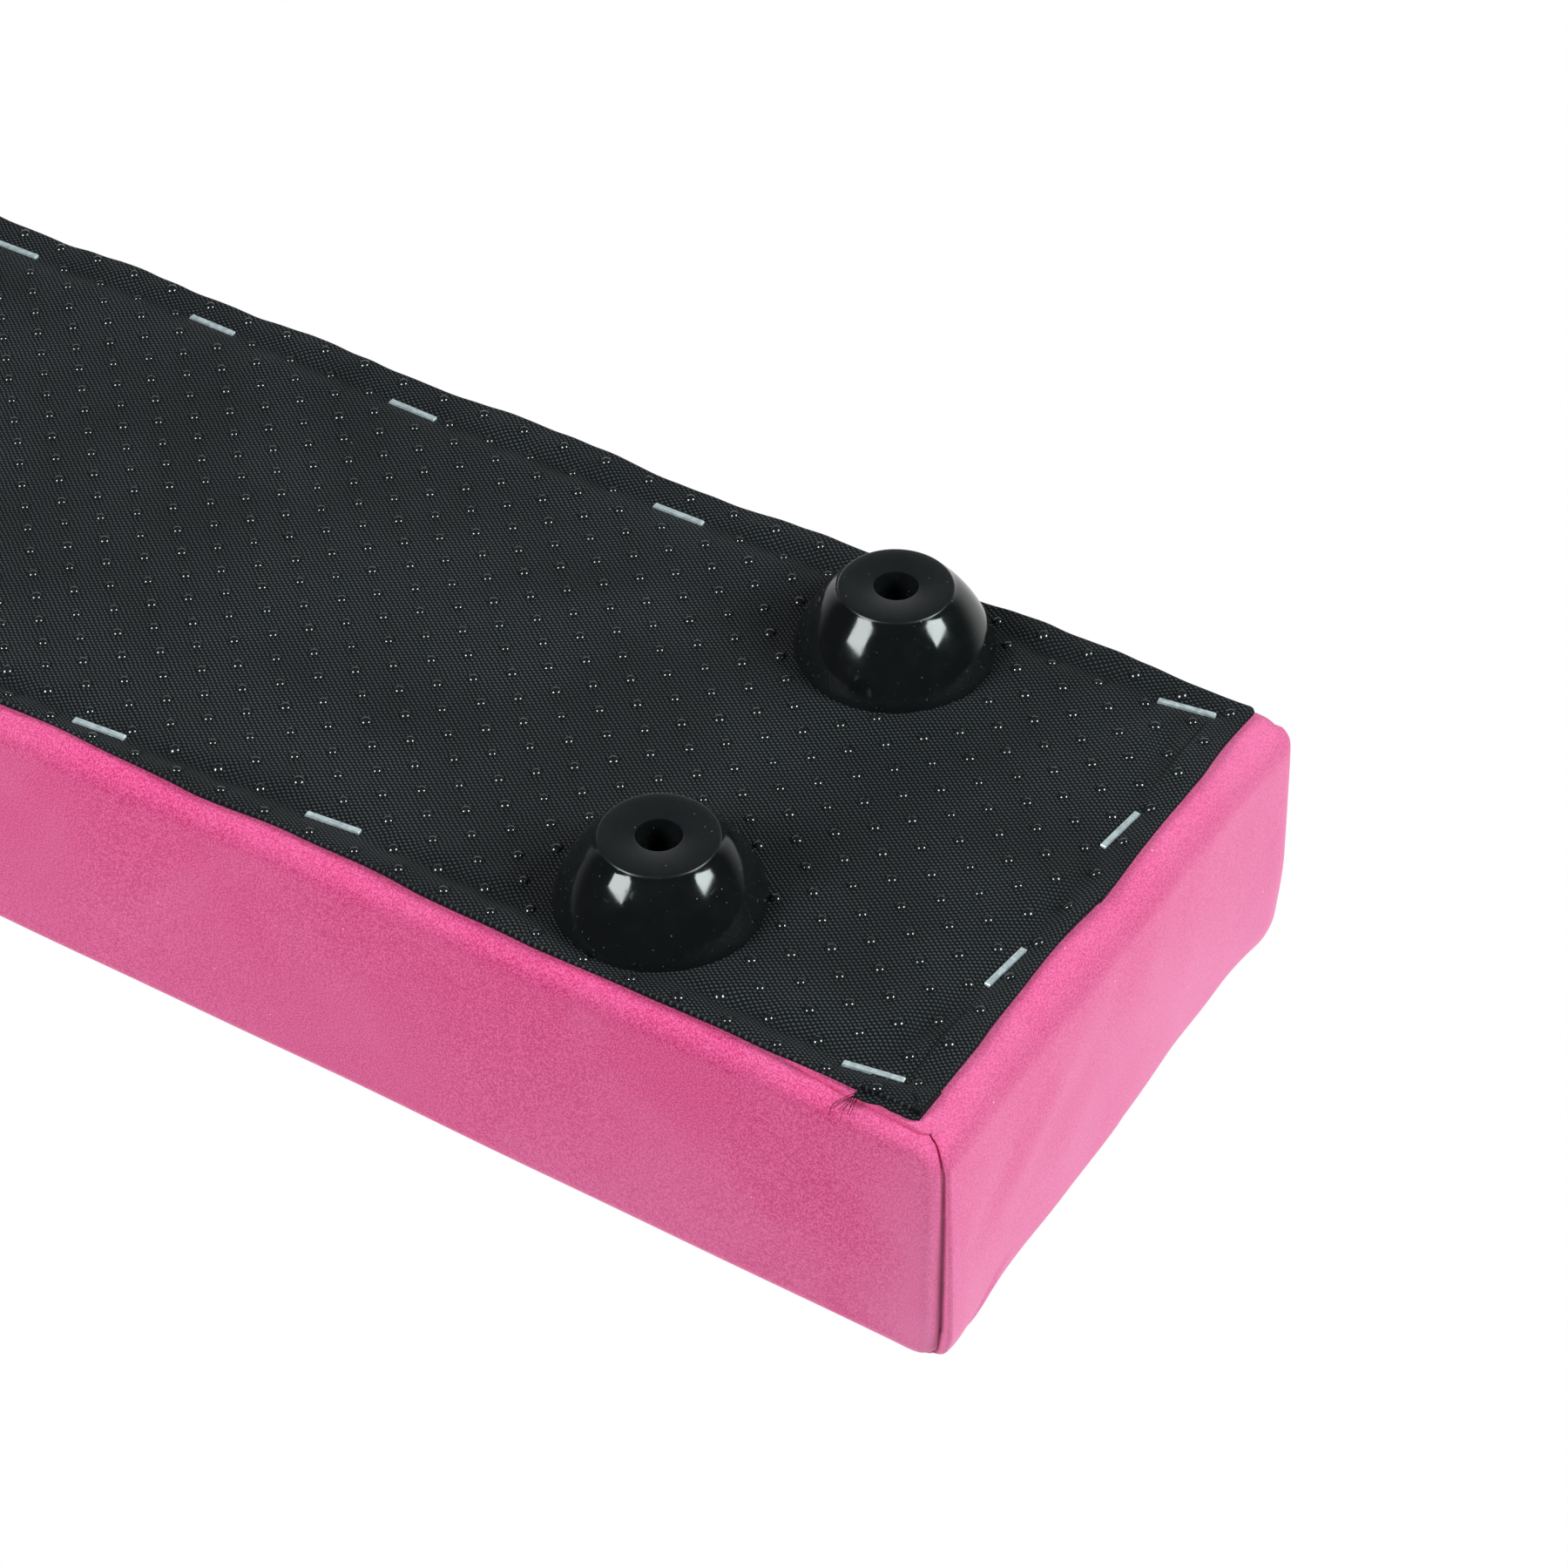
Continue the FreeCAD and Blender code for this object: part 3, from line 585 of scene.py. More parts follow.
def make_dots():
    """Moulded rubber dots, one mesh, each a low dome standing on the sheet."""
    x, y = dot_places()
    level = sheet_bulge(x, y)
    step = 0.5 * MM
    slope_x = (sheet_bulge(x + step, y) - sheet_bulge(x - step, y)) / (2 * step)
    slope_y = (sheet_bulge(x, y + step) - sheet_bulge(x, y - step)) / (2 * step)
    turn = np.linspace(0, 2 * math.pi, DOT_SIDES, endpoint=False)
    draw = np.random.default_rng(11)
    size = 1.0 + draw.normal(0, 0.05, len(x))
    points, faces = [], []
    per_dot = len(DOT_RINGS) * DOT_SIDES + 1
    ring_ids = np.arange(len(DOT_RINGS) * DOT_SIDES).reshape(len(DOT_RINGS), DOT_SIDES)
    ring_ids = np.concatenate([ring_ids, ring_ids[:, :1]], axis=1)
    wall = quads(ring_ids)
    for index in range(len(x)):
        for radius, height in DOT_RINGS:
            off_x = radius * DOT_RADIUS * size[index] * np.cos(turn)
            off_y = radius * DOT_RADIUS * size[index] * np.sin(turn)
            rise = height * DOT_HEIGHT + slope_x[index] * off_x + slope_y[index] * off_y
            points.append(np.stack([x[index] + off_x, y[index] + off_y,
                                    SHEET_FACE - level[index] - rise], axis=1))
        points.append([[x[index], y[index], SHEET_FACE - level[index] - DOT_HEIGHT]])
        first = index * per_dot
        faces.extend((wall + first).tolist())
        last_ring = first + (len(DOT_RINGS) - 1) * DOT_SIDES
        for side in range(DOT_SIDES):
            faces.append([last_ring + side, first + per_dot - 1, last_ring + (side + 1) % DOT_SIDES])
        faces.append([first + side for side in range(DOT_SIDES)])
    return add_mesh("grip_dots", np.concatenate(points), faces)


# ---------------- tucked hem and loose threads

TUCK_NOSE = 0.6 * MM  # half width of the tucked layer's rounded edge
TUCK_CORNER = 0.5 * MM  # how soon that edge turns at the layer's corners
TUCK_LAYER = (0.02 * MM, 0.85 * MM)  # where it starts and ends, down from the cover
THREAD_WIDTH = 0.11 * MM
THREADS = 9
THREAD_LENGTHS = (3.5 * MM, 8.5 * MM)


def make_tucked_hem():
    """Turned-under layer of the hem, showing past the pulled-in edge beside one corner."""
    xs = np.linspace(HALF_LENGTH - TUCK_END, HALF_LENGTH - TUCK_START, 60)
    ys = np.linspace(SHEET_HIGH[1] - TUCK_DEPTH, SHEET_HIGH[1] + 0.1 * MM, 26)
    zs = np.linspace(SHEET_HIGH[2] - TUCK_LAYER[1], SHEET_HIGH[2] - TUCK_LAYER[0], 4)
    flat, faces, x, y, height, _, _ = flat_cloth(xs, ys, zs, TUCK_CORNER, TUCK_NOSE, square=True)
    wave = ripple(x, y, (0.22 * MM, 0.0091, 0.05, 0.3), (0.12 * MM, 0.0043, 0.02, 1.0))
    outer = smooth_step((y - SHEET_HIGH[1] + 4 * MM) / (3 * MM))
    astray = 0.9 * MM * (HALF_LENGTH - x - TUCK_START) / (TUCK_END - TUCK_START) - 0.3 * MM
    y = y + (wave + astray) * outer
    z = zs.mean() + height * np.ptp(zs) / 2 * (1 + 0.35 * np.sin(x / (1.3 * MM)) * 0.4)
    z = z - 0.25 * MM * outer * (1 - height) / 2 * (1 + np.sin(x / (2.1 * MM)))
    hem = add_mesh("grip_sheet_tuck", np.stack([x, y, z], axis=1), faces)
    store_cloth(hem, np.stack([flat[:, 0], flat[:, 1] + (flat[:, 2] - zs[0]), 0 * x], axis=1))
    return hem


def make_threads():
    """Loose threads of the sheet's raw end, hanging out beside the tucked hem."""
    root = np.array([HALF_LENGTH - TUCK_END + 0.4 * MM, SHEET_HIGH[1] - 0.8 * MM, UNDERSIDE - 0.3 * MM])
    curve = bpy.data.curves.new("grip_sheet_threads", "CURVE")
    curve.dimensions = "3D"
    curve.bevel_depth = THREAD_WIDTH / 2
    curve.bevel_resolution = 2
    curve.use_fill_caps = True
    draw = np.random.default_rng(23)
    for _ in range(THREADS):
        start = root + draw.normal(0, 0.35, 3) * MM * [1.2, 0.4, 0.3]
        length = draw.uniform(*THREAD_LENGTHS)
        lean = draw.normal(0.0, 0.35)
        curl = draw.uniform(-1.2, 1.2)
        spline = curve.splines.new("NURBS")
        spline.points.add(6)
        for step in range(7):
            share = step / 6
            reach = length * share
            out = min(reach, HALF_WIDTH + 0.5 * MM - start[1])
            down = reach - out
            sway = (math.sin(curl * 2.2 * share) * 0.25 + lean * share) * length
            spline.points[step].co = (
                start[0] - 0.12 * reach + sway * 0.6,
                start[1] + out + 0.35 * MM * share,
                start[2] + down - 0.15 * MM * (1 - share),
                1.0,
            )
        spline.order_u = 4
        spline.use_endpoint_u = True
    drawn = bpy.data.objects.new("thread_curves", curve)
    threads = place_object("grip_sheet_threads", bpy.data.meshes.new_from_object(drawn))
    bpy.data.objects.remove(drawn)
    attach(threads, "root")
    return threads


# ---------------- feet

FOOT_SIDES = 96
FOOT_SHARP_ANGLE = 28  # degrees; edges that turn more than this look sharp
FOOT_BORE_RADIUS = 4.7 * MM
FOOT_TIP_RADIUS = 12.4 * MM
FOOT_BULGE_RADIUS = 35 * MM
FOOT_FLOOR = 4.0 * MM  # rubber between the bore and the base
SHANK_RADIUS = 2.4 * MM


def foot_profile(height):
    """Half section of a foot from the bore's floor round to its base: radius and height."""
    lip, rim, ease = 1.2 * MM, 0.55 * MM, 0.35 * MM
    tip = FOOT_TIP_RADIUS - rim
    profile = [
        (SHANK_RADIUS, height), (SHANK_RADIUS, height - FOOT_FLOOR),
        (FOOT_BORE_RADIUS, height - FOOT_FLOOR), (FOOT_BORE_RADIUS, ease),
        (FOOT_BORE_RADIUS + 0.1 * MM, 0.1 * MM), (FOOT_BORE_RADIUS + ease, 0.0),
        (tip - lip, 0.0), (tip, 0.0),
    ]
    for turn in np.radians((25, 50, 75)):
        profile.append((tip + rim * math.sin(turn), rim * (1 - math.cos(turn))))
    start, end = np.array([FOOT_TIP_RADIUS, rim]), np.array([FOOT_RADIUS, height - lip])
    chord = end - start
    span = np.linalg.norm(chord)
    out = np.array([chord[1], -chord[0]]) / span
    sag = FOOT_BULGE_RADIUS - math.sqrt(FOOT_BULGE_RADIUS ** 2 - (span / 2) ** 2)
    for share in np.linspace(0, 1, 17)[1:]:
        lift = 4 * sag * share * (1 - share)
        profile.append(tuple(start + chord * share + out * lift))
    profile.append((FOOT_RADIUS, height))
    return profile


def make_foot(node):
    """Moulded rubber foot, turned from its half section."""
    low, high = box_of(node)
    middle = (low + high) / 2
    profile = foot_profile(high[2] - low[2])
    turn = np.linspace(0, 2 * math.pi, FOOT_SIDES, endpoint=False)
    points = [(middle[0] + radius * math.cos(angle), middle[1] + radius * math.sin(angle), low[2] + height)
              for radius, height in profile for angle in turn]
    count = len(profile)
    ids = np.arange(count * FOOT_SIDES).reshape(count, FOOT_SIDES)
    ids = np.concatenate([ids, ids[:, :1]], axis=1)
    ids = np.concatenate([ids, ids[:1, :]], axis=0)
    foot = add_mesh("rubber_" + node, points, quads(ids, flip=True))
    foot.data.set_sharp_from_angle(angle=math.radians(FOOT_SHARP_ANGLE))
    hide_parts(node)
    return foot


# ---------------- foam padding

PAD_SLACK = 1.4 * MM  # foam left clear of the cover's folds and hollows
PAD_LIFT = 7 * MM  # foam left clear of the round lower edges
PAD_CORNER = 9.0 * MM  # foam left clear of the upright corners, by pads that reach them
PAD_LONG = 70 * MM  # a pad longer than this along a side reaches its corners
PAD_GAP = 0.05 * MM  # foam left clear of its neighbours
PAD_NEAR = 5 * MM  # a pad's face nearer than this to the beam's outside is cut back


def make_pad(node):
    """Foam pad cut to the space of its CAD solid, with eased edges and a slightly uneven face."""
    low, high = box_of(node)
    slack = np.where(high - low > PAD_LONG, PAD_CORNER, PAD_SLACK)
    lift = (slack[0], slack[1], PAD_LIFT)
    drop = (slack[0], slack[1], PAD_SLACK)
    low = low + np.where(low < BEAM_LOW + PAD_NEAR, lift, PAD_GAP)
    high = high - np.where(high > BEAM_HIGH - PAD_NEAR, drop, PAD_GAP)
    middle, half = (low + high) / 2, (high - low) / 2
    ease = min(half.min() * 0.6, 2.5 * MM)
    fine = max(half.min() / 4, 0.5 * MM)
    grid = [spaced(-size, size, fine, 9 * MM, 3 * MM) for size in half]
    points, faces = box_shell(*grid)
    x, y, z = points.T.copy()
    corner = max(min(half[0] * 0.7, half[1] * 0.7, 7 * MM), ease)
    x, y = round_plan(x, y, half[0], half[1], corner)
    x, y, height = round_profile(x, y, z + half[2], ease, half[0], half[1], corner)
    x, y, depth = round_profile(x, y, 2 * half[2] - height, ease, half[0], half[1], corner)
    z = half[2] - depth
    uneven = ripple(x + 2 * y, z + x, (0.12 * MM, 0.043, 0.05, 0.2), (0.08 * MM, 0.019, 0.03, 1.2))
    shrink = 1.0 - (0.2 * MM + np.abs(uneven)) / half.min()
    x, y, z = (axis * (shrink if size == half.min() else 1.0) for axis, size in zip((x, y, z), half))
    pad = add_mesh("foam_" + node, np.stack([x, y, z], axis=1) + middle, faces)
    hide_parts(node)
    return pad


# ---------------- material building

class Nodes:
    """A node tree under construction, starting from its output."""

    def __init__(self, owner, output):
        owner.use_nodes = True
        self.tree = owner.node_tree
        self.tree.nodes.clear()
        self.output = self.add(output)

    def add(self, kind, **settings):
        node = self.tree.nodes.new(kind)
        for name, value in settings.items():
            setattr(node, name, value)
        return node

    def feed(self, socket, value):
        """Link a socket to another, or set its value."""
        if isinstance(value, bpy.types.NodeSocket):
            self.tree.links.new(value, socket)
        else:
            socket.default_value = value

    def fill(self, node, **values):
        """Feed a node's inputs; an underscore in a name stands for a space."""
        for name, value in values.items():
            self.feed(node.inputs[name.replace("_", " ")], value)

    def ramp(self, value, start, end, low=0.0, high=1.0):
        """Ease from low to high as the value goes from start to end."""
        node = self.add("ShaderNodeMapRange", interpolation_type="SMOOTHSTEP")
        for socket, number in zip(node.inputs, (value, start, end, low, high)):
            self.feed(socket, number)
        return node.outputs[0]

    def choose(self, share, first, second):
        """Blend two shaders into the output."""
        node = self.add("ShaderNodeMixShader")
        for socket, value in zip(node.inputs, (share, first, second)):
            self.feed(socket, value)
        self.fill(self.output, Surface=node.outputs[0])


class Recipe(Nodes):
    """A material under construction, with short calls for the nodes it is made of."""

    def __init__(self, name):
        self.material = bpy.data.materials.new(name)
        super().__init__(self.material, "ShaderNodeOutputMaterial")
        self.shader = self.add("ShaderNodeBsdfPrincipled")
        self.fill(self.output, Surface=self.shader.outputs["BSDF"])

    def set(self, **values):
        """Feed the shader's inputs."""
        self.fill(self.shader, **values)

    def math(self, operation, first, second=0.0, third=0.0, clamp=False):
        node = self.add("ShaderNodeMath", operation=operation, use_clamp=clamp)
        for socket, value in zip(node.inputs, (first, second, third)):
            self.feed(socket, value)
        return node.outputs[0]

    def times(self, first, second, clamp=False):
        return self.math("MULTIPLY", first, second, clamp=clamp)

    def plus(self, first, second, clamp=False):
        return self.math("ADD", first, second, clamp=clamp)

    def scaled(self, value, factor, offset, clamp=False):
        """value times factor, plus offset."""
        return self.math("MULTIPLY_ADD", value, factor, offset, clamp)

    def place(self, scale=(1.0, 1.0, 1.0), turn=0.0):
        """Position on the object, in metres, scaled."""
        source = self.add("ShaderNodeTexCoord").outputs["Object"]
        mapping = self.add("ShaderNodeMapping")
        self.fill(mapping, Vector=source, Scale=scale, Rotation=(0.0, 0.0, turn))
        return mapping.outputs[0]

    def noise(self, size, detail=2.0, rough=0.5, vector=None, warp=0.0):
        """Noise whose blotches are about one size across, in metres."""
        node = self.add("ShaderNodeTexNoise")
        self.fill(node, Vector=vector or self.place(), Scale=1.0 / size, Detail=detail, Roughness=rough,
                  Distortion=warp)
        return node.outputs["Fac"]

    def cells(self, spacing):
        """Cells about spacing apart, in metres."""
        node = self.add("ShaderNodeTexVoronoi")
        self.fill(node, Vector=self.place(), Scale=1.0 / spacing)
        return node

    def specks(self, spacing, size, share):
        """Sparse round specks: 1 inside a speck. share is how many cells hold one."""
        cell = self.cells(spacing)
        picked = self.add("ShaderNodeSeparateColor")
        self.feed(picked.inputs[0], cell.outputs["Color"])
        chosen = self.math("LESS_THAN", picked.outputs[0], share)
        near = self.ramp(cell.outputs["Distance"], size / spacing, 0.55 * size / spacing)
        return self.times(chosen, near)

    def axes(self, vector=None):
        """The three parts of a vector, or of the position on the object."""
        node = self.add("ShaderNodeSeparateXYZ")
        self.feed(node.inputs[0], vector or self.place())
        return node.outputs

    def mix(self, share, first, second):
        """Blend two colours."""
        node = self.add("ShaderNodeMix", data_type="RGBA")
        self.feed(node.inputs[0], share)
        for socket, colour in zip(node.inputs[6:8], (first, second)):
            self.feed(socket, colour if isinstance(colour, bpy.types.NodeSocket) else (*colour, 1.0))
        return node.outputs[2]

    def bump(self, height, depth, strength=1.0):
        """Surface relief; height runs from 0 to 1 over depth metres."""
        node = self.add("ShaderNodeBump")
        self.fill(node, Strength=strength, Distance=depth, Height=height)
        self.set(Normal=node.outputs[0])


def suede_material():
    """Brushed suede: short nap, soft patches where it lies another way, a little lint, and painted sheen
    that pales it towards the walking face and over both ends.
    """
    recipe = Recipe("suede_pink")
    nap = recipe.noise(0.40 * MM, detail=2.0, rough=0.6)
    fibre = recipe.noise(0.22 * MM, detail=2.0, rough=0.6)
    brushed = recipe.noise(26 * MM, detail=2.0, warp=0.6)
    broad = recipe.noise(90 * MM, detail=1.0)
    grain = recipe.scaled(nap, 0.62, recipe.times(fibre, 0.38))
    tone = recipe.ramp(grain, 0.40, 0.60)
    colour = recipe.mix(tone, (0.545, 0.030, 0.140), (0.825, 0.122, 0.330))
    patch = recipe.scaled(brushed, 0.6, recipe.times(broad, 0.4))
    pale = recipe.ramp(patch, 0.40, 0.62, 0.0, 0.12)
    along, across, level = recipe.axes()
    # painted sheen: the colour pales towards the walking face
    upper = recipe.ramp(level, UNDERSIDE, WALKING_FACE, 0.0, 0.16)
    # painted sheen: the colour pales at both ends, more so higher up and across each end towards one of its
    # corners, the two ends turned half round
    end = recipe.ramp(recipe.math("ABSOLUTE", along), HALF_LENGTH - 22 * MM, HALF_LENGTH - 2 * MM)
    turned = recipe.times(recipe.math("SIGN", along), across)
    wear_and_sheen = recipe.ramp(turned, HALF_WIDTH, -HALF_WIDTH, 0.0, 0.10)
    rise = recipe.ramp(level, UNDERSIDE, WALKING_FACE, 0.15, 0.30)
    end = recipe.times(end, recipe.plus(wear_and_sheen, rise))
    pale = recipe.plus(recipe.plus(pale, upper), end)
    colour = recipe.mix(pale, colour, (0.810, 0.250, 0.450))
    lint = recipe.specks(7 * MM, 0.22 * MM, 0.30)
    colour = recipe.mix(recipe.times(lint, 0.75), colour, (0.93, 0.80, 0.84))
    rough = recipe.ramp(grain, 0.3, 0.7, 0.80, 0.98)
    recipe.set(Base_Color=colour, Roughness=rough, Specular_IOR_Level=0.12, Sheen_Weight=0.32,
               Sheen_Roughness=0.42, Sheen_Tint=(1.0, 0.80, 0.90, 1.0))
    recipe.bump(grain, 0.10 * MM, 0.6)
    return recipe.material


YARN_X, YARN_Y = 0.78 * MM, 0.54 * MM  # spacing of the yarns along and across the beam


def weave_material():
    """Coarse plain weave of dull black yarn, with painted shade in the gaps between the yarns and along the
    stapled valley.
    """
    recipe = Recipe("grip_weave")
    cloth = recipe.add("ShaderNodeAttribute", attribute_name="cloth").outputs["Vector"]
    along, across = recipe.axes(cloth)[:2]
    sway = recipe.math("SUBTRACT", recipe.noise(4 * MM, detail=1.0, vector=cloth), 0.5)
    along = recipe.scaled(sway, 0.5 * MM, along)
    across = recipe.scaled(sway, -0.4 * MM, across)
    wave_x = recipe.math("SINE", recipe.times(along, math.pi / YARN_X))
    wave_y = recipe.math("SINE", recipe.times(across, math.pi / YARN_Y))
    checks = recipe.times(wave_x, wave_y)
    over = recipe.ramp(checks, -0.35, 0.45)
    body = recipe.math("POWER", recipe.math("ABSOLUTE", checks), 0.45)
    height = recipe.times(body, recipe.scaled(over, 0.72, 0.28))
    fuzz = recipe.noise(0.20 * MM, detail=2.0, vector=cloth)
    wear_and_sheen = recipe.noise(35 * MM, detail=2.0)
    # painted shade: the lower the weave lies between its yarns, the darker it is
    raised = recipe.ramp(height, 0.12, 0.95)
    raised = recipe.times(raised, recipe.scaled(fuzz, 1.3, 0.35), clamp=True)
    dull = recipe.ramp(wear_and_sheen, 0.35, 0.65)
    yarn = recipe.mix(dull, (0.040, 0.045, 0.051), (0.058, 0.065, 0.073))
    # painted shade: the yarn darkens along the stapled valley
    crease_shade = recipe.add("ShaderNodeAttribute", attribute_name="crease_shade").outputs["Fac"]
    yarn = recipe.mix(recipe.times(crease_shade, 0.72), yarn, (0.004, 0.005, 0.006))
    # near black painted shade where the weave lies low, yarn colour on its raised parts
    colour = recipe.mix(raised, (0.001, 0.0012, 0.0015), yarn)
    lint = recipe.specks(9 * MM, 0.20 * MM, 0.22)
    colour = recipe.mix(recipe.times(lint, 0.45), colour, (0.45, 0.48, 0.50))
    recipe.set(Base_Color=colour, Roughness=recipe.ramp(fuzz, 0.3, 0.7, 0.52, 0.74),
               Specular_IOR_Level=0.13, Sheen_Weight=0.02, Sheen_Roughness=0.5)
    recipe.bump(height, 0.24 * MM, 1.0)
    return recipe.material


def dot_material():
    """Glossy moulded rubber, each dot a little dusty."""
    recipe = Recipe("grip_dot_rubber")
    film = recipe.noise(3 * MM, detail=2.0)
    colour = recipe.mix(film, (0.007, 0.008, 0.009), (0.014, 0.016, 0.017))
    recipe.set(Base_Color=colour, Roughness=recipe.ramp(film, 0.35, 0.7, 0.10, 0.18),
               Specular_IOR_Level=0.80)
    recipe.bump(recipe.noise(0.5 * MM, detail=1.0), 0.02 * MM, 0.3)
    return recipe.material


def foot_material():
    """Moulded black rubber: polished sides, duller tip, specks of dust and faint scuffs."""
    recipe = Recipe("foot_moulded_rubber")
    tip = recipe.ramp(recipe.axes()[2], 0.60 * MM, 0.10 * MM)
    dust = recipe.specks(1.9 * MM, 0.16 * MM, 0.34)
    fine = recipe.specks(0.9 * MM, 0.08 * MM, 0.30)
    film = recipe.noise(5 * MM, detail=3.0)
    scuff = recipe.noise(1.0, detail=2.0, vector=recipe.place((900.0, 120.0, 500.0), 0.5))
    scuff = recipe.ramp(scuff, 0.66, 0.74, 0.0, 0.35)
    colour = recipe.mix(film, (0.0035, 0.004, 0.0043), (0.007, 0.008, 0.0085))
    colour = recipe.mix(tip, colour, (0.008, 0.0095, 0.0105))
    marks = recipe.plus(dust, recipe.times(fine, 0.7), clamp=True)
    colour = recipe.mix(recipe.times(marks, 0.45), colour, (0.30, 0.32, 0.33))
    rough = recipe.scaled(tip, 0.22, recipe.ramp(film, 0.3, 0.75, 0.08, 0.15))
    rough = recipe.plus(rough, recipe.times(scuff, 0.25), clamp=True)
    recipe.set(Base_Color=colour, Roughness=rough, Specular_IOR_Level=0.38)
    recipe.bump(recipe.plus(marks, recipe.times(film, 0.5)), 0.03 * MM, 0.25)
    return recipe.material


def metal_material(name, light, dark, rough, streak, metallic=1.0):
    """Plated steel with drawn streaks and a mottled bloom."""
    recipe = Recipe(name)
    drawn = recipe.noise(1.0, detail=2.0, vector=recipe.place(streak))
    bloom = recipe.noise(1.4 * MM, detail=3.0)
    tone = recipe.scaled(drawn, 0.5, recipe.times(bloom, 0.5))
    colour = recipe.mix(recipe.ramp(tone, 0.35, 0.65), dark, light)
    recipe.set(Base_Color=colour, Metallic=metallic,
               Roughness=recipe.ramp(bloom, 0.3, 0.7, rough, rough + 0.16))
    recipe.bump(drawn, 0.02 * MM, 0.4)
    return recipe.material


def wood_material():
    """Dressed softwood with its grain along the beam."""
    recipe = Recipe("core_pine")
    rings = recipe.add("ShaderNodeTexWave", wave_type="BANDS", bands_direction="Y")
    recipe.fill(rings, Vector=recipe.place((1.2, 14.0, 22.0)), Scale=3.0, Distortion=5.0, Detail=3.0)
    pores = recipe.noise(1.0, detail=3.0, vector=recipe.place((60.0, 2400.0, 2400.0)))
    colour = recipe.mix(rings.outputs["Fac"], (0.50, 0.30, 0.14), (0.72, 0.50, 0.28))
    colour = recipe.mix(recipe.ramp(pores, 0.6, 0.75, 0.0, 0.5), colour, (0.32, 0.18, 0.08))
    recipe.set(Base_Color=colour, Roughness=recipe.ramp(pores, 0.3, 0.7, 0.50, 0.68))
    recipe.bump(recipe.plus(pores, rings.outputs["Fac"]), 0.10 * MM, 0.4)
    return recipe.material


def foam_material():
    """Closed-cell foam with a fine open skin where it was cut."""
    recipe = Recipe("pad_foam")
    cells = recipe.cells(0.9 * MM)
    tone = recipe.noise(30 * MM, detail=2.0)
    colour = recipe.mix(tone, (0.62, 0.61, 0.57), (0.74, 0.73, 0.69))
    pit = recipe.ramp(cells.outputs["Distance"], 0.0, 0.6)
    colour = recipe.mix(recipe.times(pit, 0.3), (0.80, 0.79, 0.75), colour)
    recipe.set(Base_Color=colour, Roughness=recipe.ramp(tone, 0.3, 0.7, 0.85, 0.97),
               Sheen_Weight=0.15)
    recipe.bump(pit, 0.25 * MM, 0.6)
    return recipe.material


def paint(piece, material):
    """Give a piece, or a CAD node, one material all over."""
    if not piece.material_slots:
        piece.data.materials.append(material)
    for holder in piece.material_slots:
        holder.material = material


def dress_cad_nodes(steel, wire, wood):
    """Materials for the CAD nodes that keep their own shape."""
    for name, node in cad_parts.items():
        if name.startswith("foot_screw") or name.startswith("foot_washer"):
            paint(node, steel)
        elif "staples" in name:
            paint(node, wire)
        elif name == "core_board":
            paint(node, wood)


# ---------------- floor, light and camera

CAMERA_PLACE = (260.79 * MM, 469.81 * MM, -579.22 * MM)  # from the front left corner of the sheet's face
CAMERA_AIM = (-78.70 * MM, -70.77 * MM, 0.0)
CAMERA_ROLL = 0.068  # degrees
CAMERA_LENS = 96.93  # millimetres, on a 36 mm sensor
SOFTBOXES = {
    # name: way from the beam's front end to the light, its distance, its side, its power and colour
    "left": ((-0.38, 0.73, -0.57), 1.5, 0.62, 23.0, (0.93, 1.0, 1.0)),
    "front": ((0.78, -0.19, -0.59), 1.5, 0.62, 25.5, (0.92, 1.04, 1.02)),
    "top": ((0.35, 0.25, 0.90), 2.2, 1.4, 40.0, (0.92, 1.03, 1.03)),
}
FLOOR_SIZE = 30.0
BACKDROP_WAY = (-0.39, -0.63, 0.67)
BACKDROP_FADE = (0.10, 0.65, 0.03, 0.9)  # from, to, dimmest, brightest; from and to as a cosine


def make_floor():
    """Plain pale floor that shows only from above, so it never hides the underside."""
    mesh = bpy.data.meshes.new("floor")
    half = FLOOR_SIZE / 2
    mesh.from_pydata([(-half, -half, 0), (half, -half, 0), (half, half, 0), (-half, half, 0)],
                     [], [(0, 1, 2, 3)])
    floor = place_object("floor", mesh)
    recipe = Recipe("floor_pale")
    tone = recipe.noise(0.4, detail=3.0)
    recipe.set(Base_Color=recipe.mix(tone, (0.86, 0.86, 0.86), (0.90, 0.90, 0.90)), Roughness=0.6)
    from_below = recipe.add("ShaderNodeNewGeometry").outputs["Backfacing"]
    clear = recipe.add("ShaderNodeBsdfTransparent").outputs[0]
    recipe.choose(from_below, recipe.shader.outputs[0], clear)
    paint(floor, recipe.material)
    floor.visible_shadow = False
    floor.visible_diffuse = False
    floor.visible_glossy = False
    floor.visible_transmission = False


def facing(place, target, roll=0.0):
    """Turn that points an object's -Z from place to target, level with the lower side up."""
    ahead = (target - place).normalized()
    up = Vector((0, 0, -1))
    up = (up - ahead * up.dot(ahead)).normalized()
    right = ahead.cross(up)
    turned = up * math.cos(roll) + right * math.sin(roll)
    side = ahead.cross(turned)
    turn = Vector(side), Vector(turned), -ahead
    return Matrix(turn).transposed().to_quaternion()


def add_softbox(name, way, distance, side, power, colour):
    target = Vector((HALF_LENGTH - 0.08, 0.0, UNDERSIDE))
    light = bpy.data.lights.new("softbox_" + name, "AREA")
    light.shape = "SQUARE"
    light.size = side
    light.energy = power
    light.color = colour
    box = place_object("softbox_" + name, light)
    box.location = target + Vector(way).normalized() * distance
    box.rotation_mode = "QUATERNION"
    box.rotation_quaternion = facing(box.location, target)


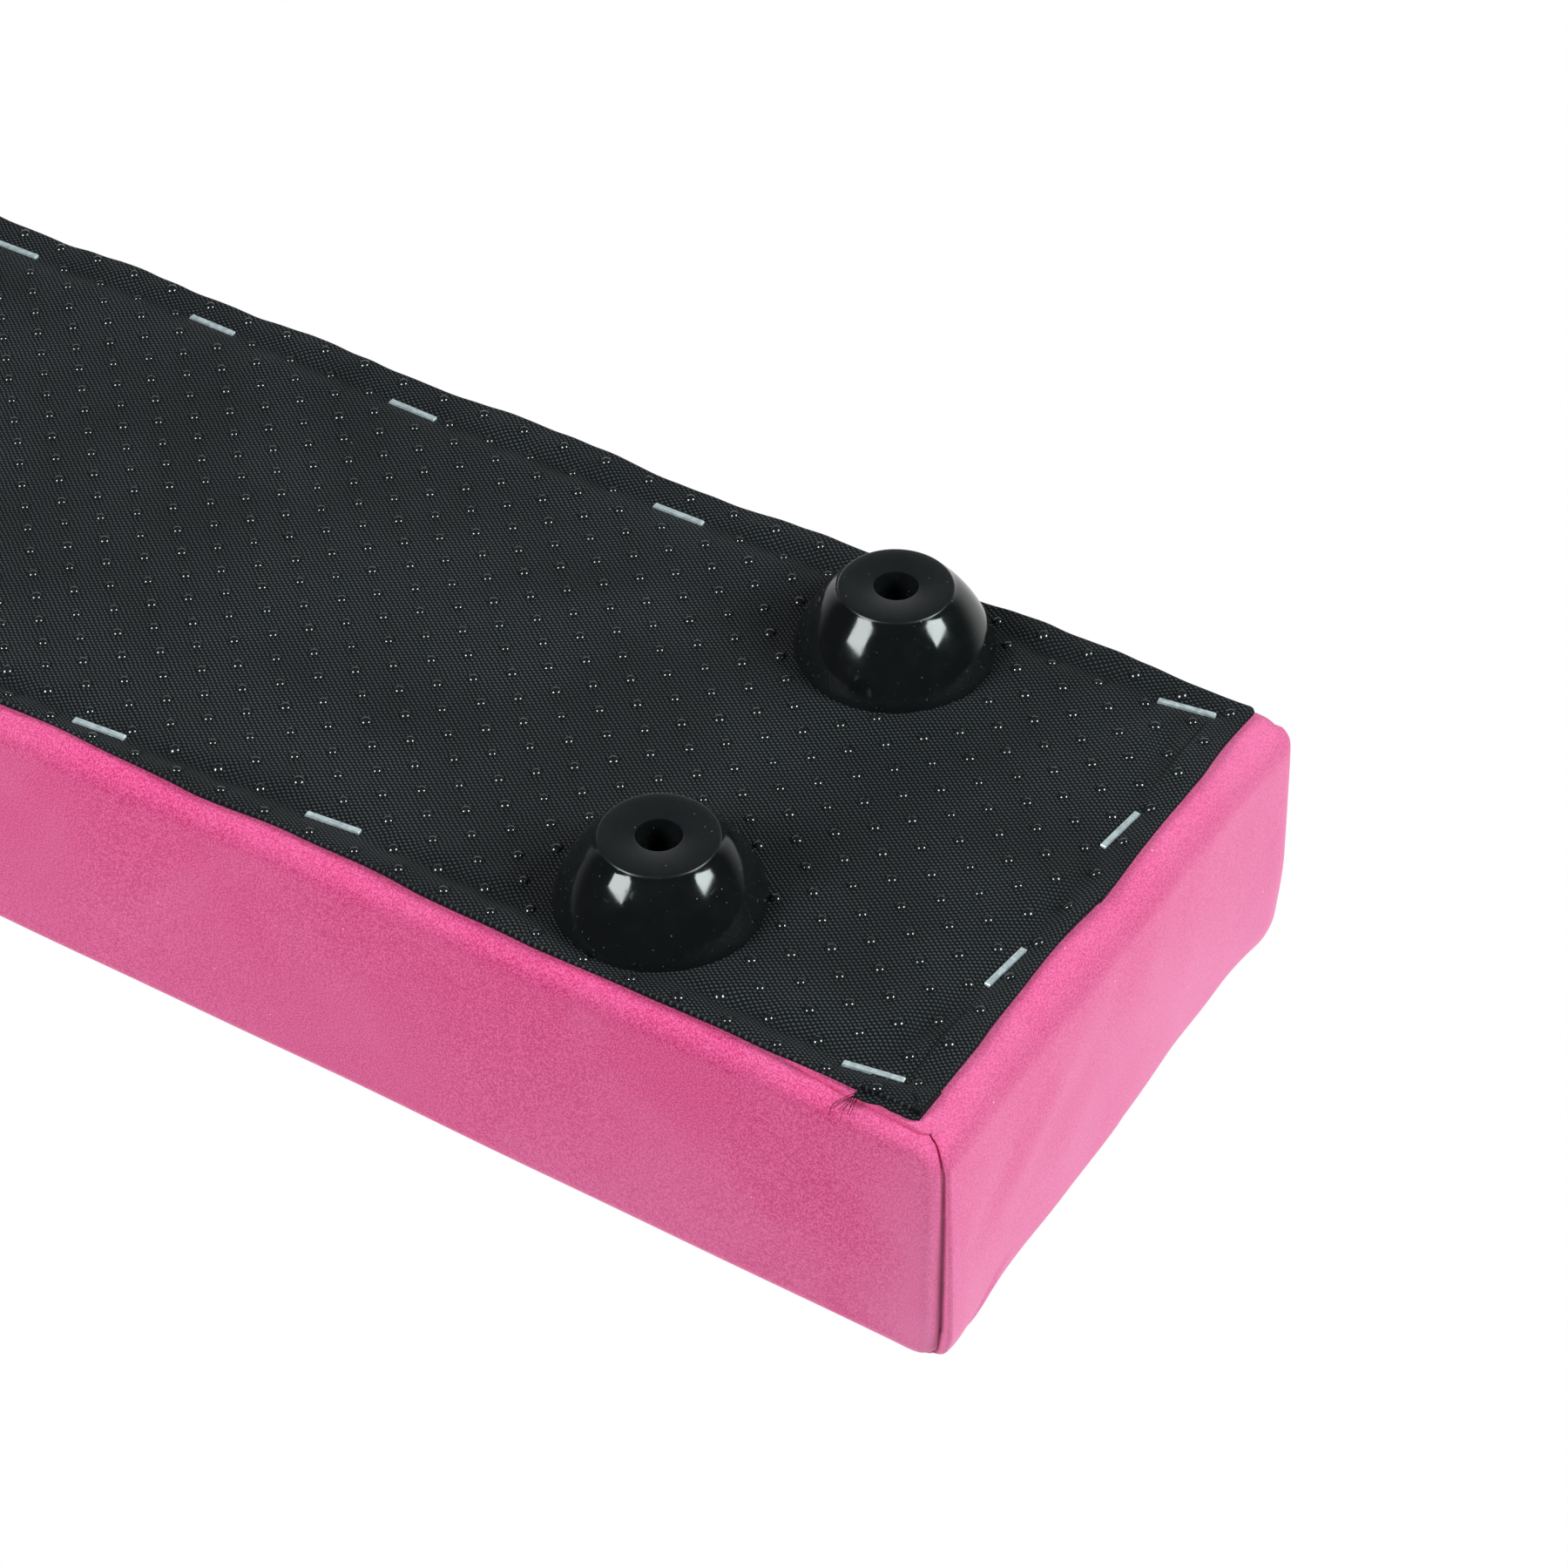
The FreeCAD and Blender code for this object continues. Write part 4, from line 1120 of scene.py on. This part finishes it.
def make_surround():
    """White backdrop behind the beam, dimmer towards the camera's side."""
    world = bpy.data.worlds.new("studio")
    bpy.context.scene.world = world
    nodes = Nodes(world, "ShaderNodeOutputWorld")
    facing_way = nodes.add("ShaderNodeVectorMath", operation="DOT_PRODUCT")
    nodes.feed(facing_way.inputs[0], nodes.add("ShaderNodeTexCoord").outputs["Generated"])
    nodes.feed(facing_way.inputs[1], Vector(BACKDROP_WAY).normalized())
    fade = nodes.ramp(facing_way.outputs["Value"], *BACKDROP_FADE)
    surround = nodes.add("ShaderNodeBackground")
    nodes.fill(surround, Color=(1, 1, 1, 1), Strength=fade)
    seen = nodes.add("ShaderNodeBackground")
    nodes.fill(seen, Color=(1, 1, 1, 1))
    straight = nodes.add("ShaderNodeLightPath").outputs["Is Camera Ray"]
    nodes.choose(straight, surround.outputs[0], seen.outputs[0])
    bpy.context.scene.view_settings.view_transform = "Standard"


def make_camera():
    corner = Vector((HALF_LENGTH, HALF_WIDTH, SHEET_FACE))
    place, aim = corner + Vector(CAMERA_PLACE), corner + Vector(CAMERA_AIM)
    data = bpy.data.cameras.new("camera")
    data.lens = CAMERA_LENS
    data.sensor_width = 36.0
    data.clip_start = 0.01
    camera = place_object("camera", data)
    camera.location = place
    camera.rotation_mode = "QUATERNION"
    camera.rotation_quaternion = facing(place, aim, math.radians(CAMERA_ROLL))
    bpy.context.scene.camera = camera


# ---------------- the whole scene

make_camera()
make_surround()
make_floor()
for box_name, softbox in SOFTBOXES.items():
    add_softbox(box_name, *softbox)

cover = make_cover()
paint(cover, suede_material())

weave = weave_material()
woven = make_grip_sheet()
tuck = make_tucked_hem()
threads = make_threads()
dots = make_dots()
for cloth_piece in (woven, tuck, threads):
    paint(cloth_piece, weave)
paint(dots, dot_material())

rubber = foot_material()
for foot_node in FOOT_NODES:
    paint(make_foot(foot_node), rubber)

foam = foam_material()
for pad_node in ("top_pad", "side_pad_left", "side_pad_right", "end_pad_front", "end_pad_back"):
    paint(make_pad(pad_node), foam)

dress_cad_nodes(
    steel=metal_material("screw_plated_steel", (0.58, 0.57, 0.55), (0.34, 0.33, 0.32), 0.30,
                         (2500.0, 2500.0, 900.0)),
    wire=metal_material("staple_zinc", (0.80, 0.88, 0.92), (0.52, 0.60, 0.64), 0.34,
                        (300.0, 3000.0, 3000.0), 0.55),
    wood=wood_material(),
)
